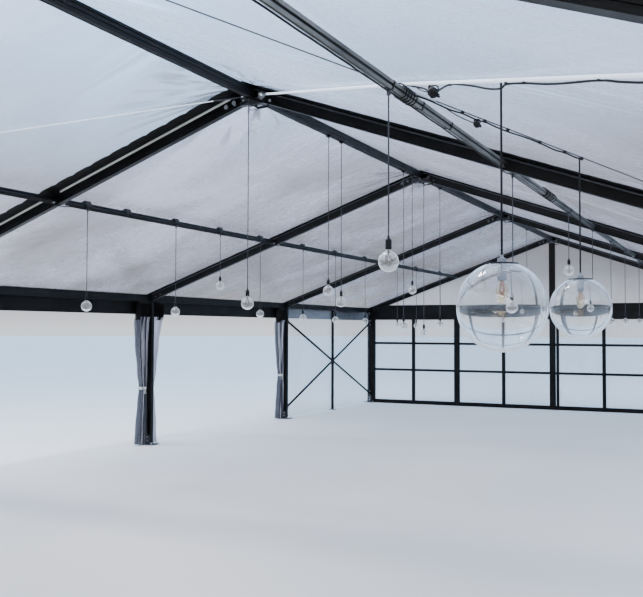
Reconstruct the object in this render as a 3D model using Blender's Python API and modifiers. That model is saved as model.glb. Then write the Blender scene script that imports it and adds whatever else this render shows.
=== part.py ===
"""A clear-span marquee tent: black portal frames in whole bays, under clear roof sheets.

Metres, +Z up. The origin is on the ground at the centre of the footprint. +Y runs along the
ridge to the rear gable, and +X points to the right-hand wall.
"""

from math import asin, atan, cos, pi, sin, tau

import bmesh
import bpy
from mathutils import Matrix, Vector

# Plan and roof line
BAY_LENGTH = 5.0  # from frame to frame
BAY_COUNT = 5
HALF_WIDTH = 5.0  # from the ridge line to the centre line of a leg
EAVE_HEIGHT = 2.62  # top of the rafter over the centre line of a leg
ROOF_SLOPE = 0.357  # rise for each metre towards the ridge

# Gap between pieces that touch, and thickness of the clear and black sheets
FIT = 0.0003
SHEET = 0.006

# Portal frames
FRAME_WIDTH = 0.07  # legs and rafters, measured along the tent
LEG_DEPTH = 0.13  # measured across the tent
RAFTER_DEPTH = 0.13  # square to the slope
APEX_REACH = 0.14  # flat underside of the apex bracket, to each side of the ridge line
FOOT_LENGTH = 0.30
FOOT_WIDTH = 0.20
FOOT_THICKNESS = 0.012

# Purlins
RIDGE_WIDTH = 0.06
RIDGE_DEPTH = 0.10
RIDGE_COVER = 0.022  # metal of the apex left over the corners of the ridge purlin
SIDE_DISTANCE = 2.5  # from the ridge line to the side purlins and the main gable posts
SIDE_SIZE = 0.05
SIDE_RISE = 0.019  # underside of the rafter to the underside of the side purlin
EAVE_WIDTH = 0.06
EAVE_DEPTH = 0.12

# Black band that hangs along both eaves, measured down from the eave height
VALANCE_DROP = 0.36

# Gable walls
GABLE_DEPTH = 0.05
GABLE_BACK = 0.015  # outer face of the end frame to the outer face of the gable frame
BEAM_RISE = 0.06  # eave height to the top of the beam
BEAM_DEPTH = 0.40
POST_WIDTH = 0.15
STILE_WIDTH = 0.065  # stile of the window beside the king post
STILE_GAP = 0.02
MULLION_WIDTH = 0.085
CORNER_WIDTH = 0.10
SILL_HEIGHT = 0.10
TRANSOM_HEIGHTS = (0.92, 1.64)
TRANSOM_DEPTH = 0.06

# Clear walls of the end bays and the tubes that brace them
WALL_BOTTOM = 0.02
WALL_DROP = 0.03  # eave height down to the top of the sheet
MID_POST_TUBE = 0.07
BRACE_TUBE = 0.05
BRACE_LINE = 0.02  # leg centre line to the brace tubes, inwards
BRACE_LOW = 0.25
BRACE_DROP = 0.42  # eave height down to the upper end of a tube
LUG = 0.008
BRACE_LUG_WIDTH = 0.07
BRACE_LUG_HEIGHT = 0.14
MID_FOOT = 0.16

# Gathered curtains, as width along the tent, depth across it and shift outwards from the line of
# the legs: at heights over the ground in the lower part, and at drops below the eave purlin above
CURTAIN_LOWER = (
    (0.02, 0.22, 0.14, 0.070), (0.30, 0.20, 0.135, 0.070), (0.70, 0.16, 0.125, 0.065),
    (0.98, 0.15, 0.11, 0.065), (1.30, 0.18, 0.12, 0.065),
)
CURTAIN_UPPER = (
    (0.73, 0.25, 0.125, 0.060), (0.36, 0.32, 0.12, 0.035), (0.24, 0.34, 0.11, 0.0), (0.0, 0.34, 0.11, 0.0),
)
CURTAIN_GAP = 0.004  # from the face of the leg to the folds
TIE_HEIGHT = 0.98
TIE_BAND = 0.05
TIE_STRAP = 0.008
TIE_REACH = 0.17  # from the face of the leg to the far edge of the tie
TIE_OUT = 0.12  # from the line of the legs to the outer side of the folds

# Wires that brace the roof of the second bay, crossing on top of the side purlins
WIRE = 0.012
WIRE_RISE = 0.06  # underside of the rafter to the axis of a wire at its ends
WIRE_CROSS = 0.008  # one wire of a pair lies this much over the other where they cross
WIRE_TOP_DISTANCE = 0.10  # from the ridge line
WIRE_FOOT_DISTANCE = 4.85
WIRE_LUG_WIDTH = 0.06
WIRE_LUG_HEIGHT = 0.055
WIRE_FRAMES = (1, 2)

# Lamp strings: feed cable, drops and round bulbs, as places along the tent and lengths from the
# clamp to the bulb centre
FEED = 0.012
DROP = 0.007
CLAMP_RADIUS = 0.012
HOLDER_RADIUS = 0.019
HOLDER_HEIGHT = 0.062
BULB_RADIUS = 0.06
BULB_NECK = 0.07  # bulb centre to the underside of its holder
LAMPS_RIDGE = (
    (-6.2, 1.82), (-2.60, 2.02), (-0.77, 1.82), (-0.41, 1.94), (1.73, 2.22), (2.09, 1.69),
    (2.60, 2.32), (3.38, 2.19), (7.4, 2.12), (9.6, 1.87),
)
LAMPS_LEFT = (
    (-7.8, 0.79), (-5.8, 1.17), (-3.8, 1.11), (-2.03, 1.13), (-0.28, 1.16), (0.82, 0.76),
    (1.99, 1.15), (3.47, 1.19), (4.80, 1.21), (6.22, 1.22), (8.03, 1.28), (9.27, 1.29), (11.06, 1.26),
)
LAMPS_RIGHT = (
    (-5.22, 1.00), (-2.2, 1.19), (0.59, 0.69), (2.4, 1.09), (4.26, 1.26), (6.08, 1.24),
    (8.40, 1.22), (10.4, 1.19),
)

# Glass globe lamps under the right-hand wires: place across, length from the wire to the centre,
# radius, and frame at whose apex the wire starts
GLOBES = ((3.31, 1.051, 0.215, 2), (3.375, 0.985, 0.20, 1))
GLOBE_WALL = 0.004
GLOBE_MOUTH = 0.075
GLOBE_ARM = 0.008
GLOBE_CABLE = 0.011
SOCKET_RADIUS = 0.022
SOCKET_ABOVE = 0.03
SOCKET_BELOW = 0.05
GLOBE_BULB_RADIUS = 0.03
GLOBE_BULB_LENGTH = 0.11
GLOBE_ARMS = 3

ROUND_STEPS = 8
LAMP_STEPS = 6
LAMP_ARC_STEPS = 4
GLOBE_STEPS = 12
GLOBE_ARC_STEPS = 8

TILT = atan(ROOF_SLOPE)
LENGTH = BAY_LENGTH * BAY_COUNT
BEAM_TOP = EAVE_HEIGHT + BEAM_RISE
BEAM_BOTTOM = BEAM_TOP - BEAM_DEPTH
BRACE_HIGH = EAVE_HEIGHT - BRACE_DROP
LEG_INNER = HALF_WIDTH - LEG_DEPTH / 2
LEG_OUTER = HALF_WIDTH + LEG_DEPTH / 2
END_FACE = LENGTH / 2 + FRAME_WIDTH / 2
SIDES = {"left": -1, "right": 1}
ENDS = {"front": -1, "rear": 1}


def frame_y(index):
    """Place of a frame along the tent, from 0 at the front gable."""
    return index * BAY_LENGTH - LENGTH / 2


def roof_top(x):
    return EAVE_HEIGHT + ROOF_SLOPE * (HALF_WIDTH - abs(x))


def rafter_under(x):
    return roof_top(x) - RAFTER_DEPTH / cos(TILT)


def sheet_under(x):
    return roof_top(x) - SHEET / cos(TILT)


APEX_UNDER = rafter_under(APEX_REACH)
RIDGE_TOP = roof_top(RIDGE_WIDTH / 2) - RIDGE_COVER
RIDGE_UNDER = RIDGE_TOP - RIDGE_DEPTH
EAVE_TOP = sheet_under(HALF_WIDTH + EAVE_WIDTH / 2) - FIT
EAVE_UNDER = EAVE_TOP - EAVE_DEPTH
SIDE_OFFSET = (SIDE_RISE + SIDE_SIZE / 2) / cos(TILT)


def clear_scene():
    for old in list(bpy.data.objects):
        bpy.data.objects.remove(old, do_unlink=True)


def new_collection(name):
    made = bpy.data.collections.new(name)
    bpy.context.scene.collection.children.link(made)
    return made


def new_material(name, colour, roughness, metallic=0.0, alpha=1.0):
    made = bpy.data.materials.new(name)
    made.use_nodes = True
    shader = made.node_tree.nodes["Principled BSDF"]
    shader.inputs["Base Color"].default_value = (*colour, 1.0)
    shader.inputs["Roughness"].default_value = roughness
    shader.inputs["Metallic"].default_value = metallic
    shader.inputs["Alpha"].default_value = alpha
    return made


def object_from(bm, name):
    """A linked object that takes the bmesh as its mesh."""
    mesh = bpy.data.meshes.new(name)
    bm.to_mesh(mesh)
    bm.free()
    made = bpy.data.objects.new(name, mesh)
    bpy.context.scene.collection.objects.link(made)
    return made


def evaluated_mesh(source):
    """The mesh that the viewport shows for an object, with loose caps welded."""
    bpy.context.view_layer.update()
    depsgraph = bpy.context.evaluated_depsgraph_get()
    mesh = bpy.data.meshes.new_from_object(source.evaluated_get(depsgraph))
    bm = bmesh.new()
    bm.from_mesh(mesh)
    bmesh.ops.remove_doubles(bm, verts=bm.verts, dist=0.00001)
    bm.to_mesh(mesh)
    bm.free()
    return mesh


def made_mesh(source):
    """Replaces an object by a plain mesh object in world space."""
    mesh = evaluated_mesh(source)
    mesh.transform(source.matrix_world)
    made = bpy.data.objects.new(source.name, mesh)
    bpy.context.scene.collection.objects.link(made)
    bpy.data.objects.remove(source, do_unlink=True)
    return made


def box(low, high, name="box"):
    size = Vector(high) - Vector(low)
    centre = (Vector(high) + Vector(low)) / 2
    bm = bmesh.new()
    bmesh.ops.create_cube(bm, size=1.0, matrix=Matrix.Translation(centre) @ Matrix.Diagonal((*size, 1.0)))
    return object_from(bm, name)


def rod(start, end, diameter, name="rod"):
    """A round bar between two points."""
    start, end = Vector(start), Vector(end)
    run = end - start
    turn = run.to_track_quat("Z", "Y").to_matrix().to_4x4()
    bm = bmesh.new()
    bmesh.ops.create_cone(
        bm, cap_ends=True, segments=ROUND_STEPS, radius1=diameter / 2, radius2=diameter / 2,
        depth=run.length, matrix=Matrix.Translation((start + end) / 2) @ turn,
    )
    return object_from(bm, name)


def bent_rod(points, diameter, name="bent_rod"):
    """A round bar that runs from point to point."""
    bm = bmesh.new()
    loops = []
    for index, point in enumerate(points):
        before, after = points[max(index - 1, 0)], points[min(index + 1, len(points) - 1)]
        turn = (after - before).to_track_quat("Z", "Y").to_matrix().to_4x4()
        place = Matrix.Translation(point) @ turn
        ring = bmesh.ops.create_circle(bm, segments=ROUND_STEPS, radius=diameter / 2, matrix=place)["verts"]
        loops.append(list({edge for vert in ring for edge in vert.link_edges}))
    for below, above in zip(loops, loops[1:]):
        bmesh.ops.bridge_loops(bm, edges=below + above)
    bmesh.ops.contextual_create(bm, geom=loops[0])
    bmesh.ops.contextual_create(bm, geom=loops[-1])
    bmesh.ops.triangulate(bm, faces=bm.faces)
    bmesh.ops.recalc_face_normals(bm, faces=bm.faces)
    return object_from(bm, name)


def slab(outline, low, high, axis="Y", holes=(), name="slab"):
    """A flat outline with holes, between two places along Y (outline in X and Z) or along Z (X and Y)."""
    curve = bpy.data.curves.new(name, "CURVE")
    curve.dimensions = "2D"
    curve.fill_mode = "BOTH"
    curve.extrude = (high - low) / 2
    for points in (outline, *holes):
        spline = curve.splines.new("POLY")
        spline.points.add(len(points) - 1)
        for point, (u, v) in zip(spline.points, points):
            point.co = (u, v, 0.0, 1.0)
        spline.use_cyclic_u = True
    made = bpy.data.objects.new(name, curve)
    bpy.context.scene.collection.objects.link(made)
    middle = (low + high) / 2
    if axis == "Y":
        made.rotation_euler = (pi / 2, 0.0, 0.0)
        made.location = (0.0, middle, 0.0)
    else:
        made.location = (0.0, 0.0, middle)
    return made_mesh(made)


def turned(profile, place, steps, name="turned"):
    """A profile of radius and height, turned round the vertical through a place."""
    mesh = bpy.data.meshes.new(name)
    points = [(radius, 0.0, height) for radius, height in profile]
    mesh.from_pydata(points, [(i, i + 1) for i in range(len(points) - 1)], [])
    made = bpy.data.objects.new(name, mesh)
    bpy.context.scene.collection.objects.link(made)
    made.location = place
    screw = made.modifiers.new("turn", "SCREW")
    screw.steps = steps
    screw.render_steps = steps
    screw.use_merge_vertices = True
    screw.merge_threshold = 0.0001
    return made_mesh(made)


def fused(pieces):
    """One closed body from pieces that overlap."""
    body = pieces[0]
    for number, piece in enumerate(pieces[1:]):
        union = body.modifiers.new(f"join {number}", "BOOLEAN")
        union.operation = "UNION"
        union.solver = "EXACT"
        union.object = piece
    made = made_mesh(body)
    for piece in pieces[1:]:
        bpy.data.objects.remove(piece, do_unlink=True)
    return made


def finish(made, name, material, home):
    """Names a finished piece, gives it its material and moves it to the collection of the tent."""
    made.name = name
    made.data.name = name
    made.data.materials.clear()
    made.data.materials.append(material)
    for holder in list(made.users_collection):
        holder.objects.unlink(made)
    home.objects.link(made)
    return made


def rectangle(left, right, bottom, top):
    return ((left, bottom), (right, bottom), (right, top), (left, top))


def side_purlin_outline(side, clearance=0.0):
    """The square section of a side purlin, turned to the slope of the roof."""
    half = SIDE_SIZE / 2 + clearance
    centre = Vector((side * SIDE_DISTANCE, rafter_under(SIDE_DISTANCE) + SIDE_OFFSET))
    along = Vector((cos(TILT), -side * sin(TILT))) * half
    square = Vector((side * sin(TILT), cos(TILT))) * half
    corners = (-along - square, along - square, along + square, square - along)
    return tuple(tuple(centre + corner) for corner in corners)


def ridge_outline(clearance=0.0):
    half = RIDGE_WIDTH / 2 + clearance
    return rectangle(-half, half, RIDGE_UNDER - clearance, RIDGE_TOP + clearance)


def eave_outline(side, clearance=0.0):
    half = EAVE_WIDTH / 2 + clearance
    centre = side * HALF_WIDTH
    return rectangle(centre - half, centre + half, EAVE_UNDER - clearance, EAVE_TOP + clearance)


def leg(side, index):
    """An upright on its foot plate, with the slot that the eave purlin runs through."""
    y = frame_y(index)
    inner, outer = side * LEG_INNER, side * LEG_OUTER
    start = FOOT_THICKNESS / 2
    outline = ((inner, start), (outer, start), (outer, roof_top(outer)), (inner, roof_top(inner)))
    post = slab(outline, y - FRAME_WIDTH / 2, y + FRAME_WIDTH / 2, holes=(eave_outline(side, FIT),))
    centre = side * HALF_WIDTH
    foot = box(
        (centre - FOOT_LENGTH / 2, y - FOOT_WIDTH / 2, 0.0),
        (centre + FOOT_LENGTH / 2, y + FOOT_WIDTH / 2, FOOT_THICKNESS),
    )
    return fused([post, foot])


def rafter_pair(index):
    """Both rafters of a frame with the apex bracket that joins them, slotted for the purlins."""
    y = frame_y(index)
    reach = LEG_INNER - FIT
    outline = (
        (-reach, rafter_under(reach)), (-APEX_REACH, APEX_UNDER), (APEX_REACH, APEX_UNDER),
        (reach, rafter_under(reach)), (reach, roof_top(reach)), (0.0, roof_top(0.0)),
        (-reach, roof_top(reach)),
    )
    slots = (ridge_outline(FIT), side_purlin_outline(-1, FIT), side_purlin_outline(1, FIT))
    return slab(outline, y - FRAME_WIDTH / 2, y + FRAME_WIDTH / 2, holes=slots)


def roof_sheet(index):
    """One clear sheet from eave to eave over the ridge, between two frames."""
    reach = LEG_OUTER - FIT
    low = frame_y(index) + FRAME_WIDTH / 2 + FIT
    high = frame_y(index + 1) - FRAME_WIDTH / 2 - FIT
    outline = (
        (-reach, sheet_under(reach)), (0.0, sheet_under(0.0)), (reach, sheet_under(reach)),
        (reach, roof_top(reach)), (0.0, roof_top(0.0)), (-reach, roof_top(reach)),
    )
    return slab(outline, low, high)


def valance(side):
    near = side * (LEG_OUTER + FIT)
    far = near + side * SHEET
    outline = rectangle(min(near, far), max(near, far), EAVE_HEIGHT - VALANCE_DROP, roof_top(LEG_OUTER))
    return slab(outline, -END_FACE, END_FACE)


def gable_uprights():
    """The posts, mullions and corner stiles of a gable, as left and right edges."""
    edge = LEG_INNER - FIT
    outer_mullion = (SIDE_DISTANCE + edge) / 2
    inner_mullion = SIDE_DISTANCE / 2
    found = [(-edge, -edge + CORNER_WIDTH), (edge - CORNER_WIDTH, edge)]
    for x in (-SIDE_DISTANCE, 0.0, SIDE_DISTANCE):
        found.append((x - POST_WIDTH / 2, x + POST_WIDTH / 2))
    for x in (-outer_mullion, -inner_mullion, inner_mullion, outer_mullion):
        found.append((x - MULLION_WIDTH / 2, x + MULLION_WIDTH / 2))
    stile = POST_WIDTH / 2 + STILE_GAP
    found.append((stile, stile + STILE_WIDTH))
    return sorted(found)


def gable_rails():
    """The sill, transoms and beam of a gable, as lower and upper edges."""
    found = [(0.0, SILL_HEIGHT), (BEAM_BOTTOM, BEAM_TOP)]
    for height in TRANSOM_HEIGHTS:
        found.append((height - TRANSOM_DEPTH / 2, height + TRANSOM_DEPTH / 2))
    return sorted(found)


def gable_planes(end):
    """Inner and outer place of the gable frame along the tent."""
    outer = end * (END_FACE - GABLE_BACK)
    return sorted((outer, outer - end * GABLE_DEPTH))


def gable_frame(end):
    """Window wall frame with its beam, and the king post up to the apex bracket."""
    edge = LEG_INNER - FIT
    king = POST_WIDTH / 2
    meet = (rafter_under(0.0) - FIT - BEAM_TOP) / ROOF_SLOPE
    plate = HALF_WIDTH - FOOT_LENGTH / 2 - FIT
    over = FOOT_THICKNESS + FIT
    outline = (
        (-edge, over), (-plate, over), (-plate, 0.0), (plate, 0.0), (plate, over), (edge, over),
        (edge, rafter_under(edge) - FIT), (meet, BEAM_TOP), (king, BEAM_TOP),
        (king, APEX_UNDER - FIT), (-king, APEX_UNDER - FIT), (-king, BEAM_TOP), (-meet, BEAM_TOP),
        (-edge, rafter_under(edge) - FIT),
    )
    uprights, rails = gable_uprights(), gable_rails()
    panes = []
    for (_, left), (right, _) in zip(uprights, uprights[1:]):
        for (_, bottom), (top, _) in zip(rails, rails[1:]):
            panes.append(rectangle(left, right, bottom, top))
    return slab(outline, *gable_planes(end), holes=panes)


def gable_sheet(end):
    """Clear sheet behind the gable frame, from the ground to the rafters."""
    reach = LEG_INNER - FIT
    outline = (
        (-reach, WALL_BOTTOM), (reach, WALL_BOTTOM), (reach, rafter_under(reach) - FIT),
        (APEX_REACH, APEX_UNDER - FIT), (-APEX_REACH, APEX_UNDER - FIT),
        (-reach, rafter_under(reach) - FIT),
    )
    face = end * (END_FACE - GABLE_BACK + FIT)
    return slab(outline, *sorted((face, face + end * SHEET)))


def end_bay(end):
    """Inner faces of the two frames that bound an end bay, from front to rear."""
    frames = (0, 1) if end < 0 else (BAY_COUNT - 1, BAY_COUNT)
    return frame_y(frames[0]) + FRAME_WIDTH / 2 + FIT, frame_y(frames[1]) - FRAME_WIDTH / 2 - FIT


def wall_sheet(side, end):
    near = side * (HALF_WIDTH + EAVE_WIDTH / 2 + FIT)
    far = near + side * SHEET
    outline = rectangle(min(near, far), max(near, far), WALL_BOTTOM, EAVE_HEIGHT - WALL_DROP)
    return slab(outline, *end_bay(end))


def wall_brace(side, end):
    """Crossed tubes and a mid post, joined where they cross, with lugs against the legs."""
    low, high = end_bay(end)
    x = side * (HALF_WIDTH - BRACE_LINE)
    middle = (low + high) / 2
    half = MID_FOOT / 2
    pieces = [
        rod((x, middle, LUG / 2), (x, middle, EAVE_UNDER - FIT), MID_POST_TUBE),
        box((x - half, middle - half, 0.0), (x + half, middle + half, LUG)),
    ]
    for start, finish_height in ((BRACE_LOW, BRACE_HIGH), (BRACE_HIGH, BRACE_LOW)):
        inset = LUG / 2 + BRACE_TUBE / 4
        pieces.append(rod((x, low + inset, start), (x, high - inset, finish_height), BRACE_TUBE))
    half = BRACE_LUG_WIDTH / 2
    for height in (BRACE_LOW, BRACE_HIGH):
        bottom, top = height - BRACE_LUG_HEIGHT / 2, height + BRACE_LUG_HEIGHT / 2
        pieces.append(box((x - half, low, bottom), (x + half, low + LUG + BRACE_TUBE / 4, top)))
        pieces.append(box((x - half, high - LUG - BRACE_TUBE / 4, bottom), (x + half, high, top)))
    return fused(pieces)


def gathered(side, y, way):
    """One curtain drawn together beside a leg, as a column of varying section."""
    bm = bmesh.new()
    loops = []
    flat = Matrix.Rotation(pi / ROUND_STEPS, 4, "Z")
    reach = 1 / cos(pi / ROUND_STEPS)
    upper = [(EAVE_UNDER - FIT - drop, *sizes) for drop, *sizes in CURTAIN_UPPER]
    for height, width, depth, shift in (*CURTAIN_LOWER, *upper):
        centre = y + way * (FRAME_WIDTH / 2 + CURTAIN_GAP + width / 2)
        place = Matrix.Translation((side * (HALF_WIDTH + shift), centre, height))
        shape = place @ Matrix.Diagonal((depth / 2, width / 2, 1.0, 1.0)) @ flat
        ring = bmesh.ops.create_circle(bm, segments=ROUND_STEPS, radius=reach, matrix=shape)["verts"]
        loops.append(list({edge for vert in ring for edge in vert.link_edges}))
    for below, above in zip(loops, loops[1:]):
        bmesh.ops.bridge_loops(bm, edges=below + above)
    bmesh.ops.contextual_create(bm, geom=loops[0])
    bmesh.ops.contextual_create(bm, geom=loops[-1])
    bmesh.ops.recalc_face_normals(bm, faces=bm.faces)
    return object_from(bm, "gathered")


def tie_band(side, y, ways):
    """The strap round a leg and its curtains. Beside a clear wall it ends at the corners of the leg."""
    reach = FRAME_WIDTH / 2 + FIT
    inner, outer = side * (LEG_INNER - FIT), side * (LEG_OUTER + FIT)
    near, over = inner - side * TIE_STRAP, outer + side * TIE_STRAP
    far = side * (HALF_WIDTH + TIE_OUT + TIE_STRAP)
    low, high = TIE_HEIGHT - TIE_BAND / 2, TIE_HEIGHT + TIE_BAND / 2
    if len(ways) == 2:
        notch, end = reach + CURTAIN_GAP / 2, reach + TIE_REACH
        outline = (
            (near, y - end), (near, y + end), (far, y + end), (far, y + notch), (over, y + notch),
            (over, y - notch), (far, y - notch), (far, y - end),
        )
        hole = rectangle(*sorted((inner, outer)), y - reach, y + reach)
        return slab(outline, low, high, axis="Z", holes=(hole,))
    way = ways[0]
    open_end, leg_end = y - way * reach, y + way * reach
    notch, far_end = leg_end + way * CURTAIN_GAP / 2, leg_end + way * TIE_REACH
    outline = (
        (over, open_end), (outer, open_end), (outer, leg_end), (inner, leg_end), (inner, open_end),
        (near, open_end), (near, far_end), (far, far_end), (far, notch), (over, notch),
    )
    return slab(outline, low, high, axis="Z")


def curtain(side, index):
    """The curtains tied back at one leg: on both of its sides between two open bays."""
    y = frame_y(index)
    ways = [way for way, bay in ((-1, index - 1), (1, index)) if 0 < bay < BAY_COUNT - 1]
    return fused([tie_band(side, y, ways), *(gathered(side, y, way) for way in ways)])


def wire_path(side, top_frame, foot_frame):
    """A roof wire: beside an apex, on top of the side purlin, and beside the foot of the next rafter."""
    way = 1 if foot_frame > top_frame else -1
    inset = FRAME_WIDTH / 2 + FIT + LUG - WIRE / 8
    top = Vector((side * WIRE_TOP_DISTANCE, frame_y(top_frame) + way * inset, 0.0))
    foot = Vector((side * WIRE_FOOT_DISTANCE, frame_y(foot_frame) - way * inset, 0.0))
    for place in (top, foot):
        place.z = rafter_under(place.x) + WIRE_RISE
    share = (SIDE_DISTANCE - WIRE_TOP_DISTANCE) / (WIRE_FOOT_DISTANCE - WIRE_TOP_DISTANCE)
    over = top.lerp(foot, share)
    purlin = rafter_under(SIDE_DISTANCE) + SIDE_OFFSET
    over.z = purlin + (SIDE_SIZE / 2 + WIRE / 2 + 2 * FIT) / cos(TILT)
    if way < 0:
        over.z += WIRE_CROSS
    return top, over, foot


def wire_lug(place, face, way):
    """A small plate against the side of a rafter, at the end of a wire."""
    low, high = sorted((face, face + way * LUG))
    half = Vector((WIRE_LUG_WIDTH / 2, 0.0, WIRE_LUG_HEIGHT / 2))
    return box((place.x - half.x, low, place.z - half.z), (place.x + half.x, high, place.z + half.z))


def roof_brace(side):
    """Two wires that cross in one bay, from each apex to the opposite eave."""
    pieces = []
    lugs = []
    for top_frame, foot_frame in (WIRE_FRAMES, WIRE_FRAMES[::-1]):
        top, over, foot = wire_path(side, top_frame, foot_frame)
        way = 1 if foot_frame > top_frame else -1
        pieces.append(bent_rod((top, over, foot), WIRE))
        clear = FRAME_WIDTH / 2 + FIT
        lugs.append(wire_lug(top, frame_y(top_frame) + way * clear, way))
        lugs.append(wire_lug(foot, frame_y(foot_frame) - way * clear, -way))
    return fused(pieces + lugs)


def lamp_string(x, carrier, feed, lamps):
    """A feed cable under the frames, and a lamp that hangs from each clamp on the purlin."""
    end = END_FACE - 2 * GABLE_BACK - GABLE_DEPTH
    pieces = [rod((x, -end, feed), (x, end, feed), FEED)]
    for y, hang in lamps:
        bulb = carrier - hang
        holder = bulb + BULB_NECK
        arc = [
            (BULB_RADIUS * sin(angle), bulb + BULB_RADIUS * cos(angle))
            for angle in (pi * step / LAMP_ARC_STEPS for step in range(1, LAMP_ARC_STEPS))
        ]
        profile = [
            (0.0, carrier), (CLAMP_RADIUS, carrier), (DROP / 2, feed - FEED),
            (DROP / 2, holder + HOLDER_HEIGHT), (HOLDER_RADIUS, holder + HOLDER_HEIGHT),
            (HOLDER_RADIUS, holder), *arc, (0.0, bulb - BULB_RADIUS),
        ]
        pieces.append(turned(profile, (x, y, 0.0), LAMP_STEPS))
    return fused(pieces)


def side_clamp_line():
    """Where the underside of a side purlin is met by a clamp: place across, and height."""
    x = SIDE_DISTANCE - SIDE_SIZE / 2 * sin(TILT)
    under = rafter_under(SIDE_DISTANCE) + SIDE_OFFSET - SIDE_SIZE / 2 * cos(TILT)
    return x, under - CLAMP_RADIUS * ROOF_SLOPE - FIT


def globe_lamp(x, length, radius, top_frame):
    """A glass globe with an open mouth, hung by its cable from a roof wire, and the lamp inside."""
    foot_frame = sum(WIRE_FRAMES) - top_frame
    _, over, foot = wire_path(1, top_frame, foot_frame)
    place = over.lerp(foot, (x - over.x) / (foot.x - over.x))
    centre = place.z - length
    fall = (over.z - foot.z) / (over.xy - foot.xy).length
    hang = place.z - WIRE / 2 / cos(atan(fall)) - fall * GLOBE_CABLE / 2 - FIT
    mouth_angle = asin(GLOBE_MOUTH / radius)
    step_angle = (pi - mouth_angle) / GLOBE_ARC_STEPS
    angles = [mouth_angle + step_angle * step for step in range(GLOBE_ARC_STEPS + 1)]
    inner = radius - GLOBE_WALL
    shell = [(inner * sin(a), centre + inner * cos(a)) for a in reversed(angles[:-1])]
    shell.insert(0, (0.0, centre - inner))
    shell += [(radius * sin(a), centre + radius * cos(a)) for a in angles[:-1]]
    shell.append((0.0, centre - radius))
    rim = centre + radius * cos(mouth_angle)
    bulb_top = rim - SOCKET_BELOW
    lamp = [
        (0.0, hang), (GLOBE_CABLE / 2, hang), (GLOBE_CABLE / 2, rim + SOCKET_ABOVE),
        (SOCKET_RADIUS, rim + SOCKET_ABOVE), (SOCKET_RADIUS, bulb_top),
        (GLOBE_BULB_RADIUS, bulb_top - GLOBE_BULB_LENGTH / 3),
        (GLOBE_BULB_RADIUS * 2 / 3, bulb_top - GLOBE_BULB_LENGTH * 5 / 6),
        (0.0, bulb_top - GLOBE_BULB_LENGTH),
    ]
    place.z = 0.0
    pieces = [turned(shell, place, GLOBE_STEPS), turned(lamp, place, LAMP_STEPS)]
    for number in range(GLOBE_ARMS):
        angle = tau * number / GLOBE_ARMS
        run = Vector((cos(angle), sin(angle), 0.0))
        start = place + run * SOCKET_RADIUS / 2 + Vector((0, 0, rim - GLOBE_ARM / 4))
        end = place + run * (GLOBE_MOUTH + GLOBE_WALL / 2) + Vector((0, 0, rim - GLOBE_ARM / 4))
        pieces.append(rod(start, end, GLOBE_ARM))
    return fused(pieces)


def build():
    clear_scene()
    home = new_collection("marquee_tent")
    black_metal = new_material("frame", (0.012, 0.014, 0.017), 0.38, 0.6)
    clear_sheet = new_material("clear_sheet", (0.75, 0.79, 0.84), 0.15, 0.0, 0.35)
    black_sheet = new_material("valance", (0.012, 0.013, 0.016), 0.45)
    wire = new_material("wire", (0.55, 0.56, 0.58), 0.35, 0.7)
    cable = new_material("lamps", (0.02, 0.02, 0.022), 0.4)
    glass = new_material("globes", (0.9, 0.92, 0.94), 0.04, 0.0, 0.3)
    curtain_sheet = new_material("curtain", (0.6, 0.64, 0.7), 0.22, 0.0, 0.5)

    for name, side in SIDES.items():
        for index in range(BAY_COUNT + 1):
            finish(leg(side, index), f"leg_{name}_{index + 1}", black_metal, home)
    for index in range(BAY_COUNT + 1):
        finish(rafter_pair(index), f"rafter_pair_{index + 1}", black_metal, home)
    finish(slab(ridge_outline(), -END_FACE, END_FACE), "ridge_purlin", black_metal, home)
    for name, side in SIDES.items():
        made = slab(side_purlin_outline(side), -END_FACE, END_FACE)
        finish(made, f"side_purlin_{name}", black_metal, home)
        made = slab(eave_outline(side), -END_FACE, END_FACE)
        finish(made, f"eave_purlin_{name}", black_metal, home)
        finish(valance(side), f"valance_{name}", black_sheet, home)
        finish(roof_brace(side), f"roof_brace_{name}", wire, home)
    for index in range(BAY_COUNT):
        finish(roof_sheet(index), f"roof_sheet_{index + 1}", clear_sheet, home)
    for end_name, end in ENDS.items():
        finish(gable_frame(end), f"gable_frame_{end_name}", black_metal, home)
        finish(gable_sheet(end), f"gable_sheet_{end_name}", clear_sheet, home)
        for name, side in SIDES.items():
            finish(wall_sheet(side, end), f"wall_sheet_{name}_{end_name}", clear_sheet, home)
            finish(wall_brace(side, end), f"wall_brace_{name}_{end_name}", black_metal, home)
    for name, side in SIDES.items():
        for index in range(1, BAY_COUNT):
            finish(curtain(side, index), f"curtain_{name}_{index + 1}", curtain_sheet, home)

    made = lamp_string(0.0, RIDGE_UNDER - FIT, APEX_UNDER - FIT - FEED / 2, LAMPS_RIDGE)
    finish(made, "lamp_string_ridge", cable, home)
    x, carrier = side_clamp_line()
    feed = rafter_under(SIDE_DISTANCE) - FIT - FEED / 2
    finish(lamp_string(-x, carrier, feed, LAMPS_LEFT), "lamp_string_left", cable, home)
    finish(lamp_string(x, carrier, feed, LAMPS_RIGHT), "lamp_string_right", cable, home)
    for number, globe in enumerate(GLOBES):
        finish(globe_lamp(*globe), f"globe_lamp_{number + 1}", glass, home)


build()
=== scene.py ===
# %% [markdown]
# # A clear-roofed marquee tent
# The tent is a row of six black portal frames with clear film pulled between them. This lesson
# dresses its plain solids: notched metal profiles, film that sags and wrinkles, gathered curtains,
# bracing and lamps.

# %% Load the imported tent
import math
import bmesh
import bpy
from mathutils import Matrix, Vector, noise


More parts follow.
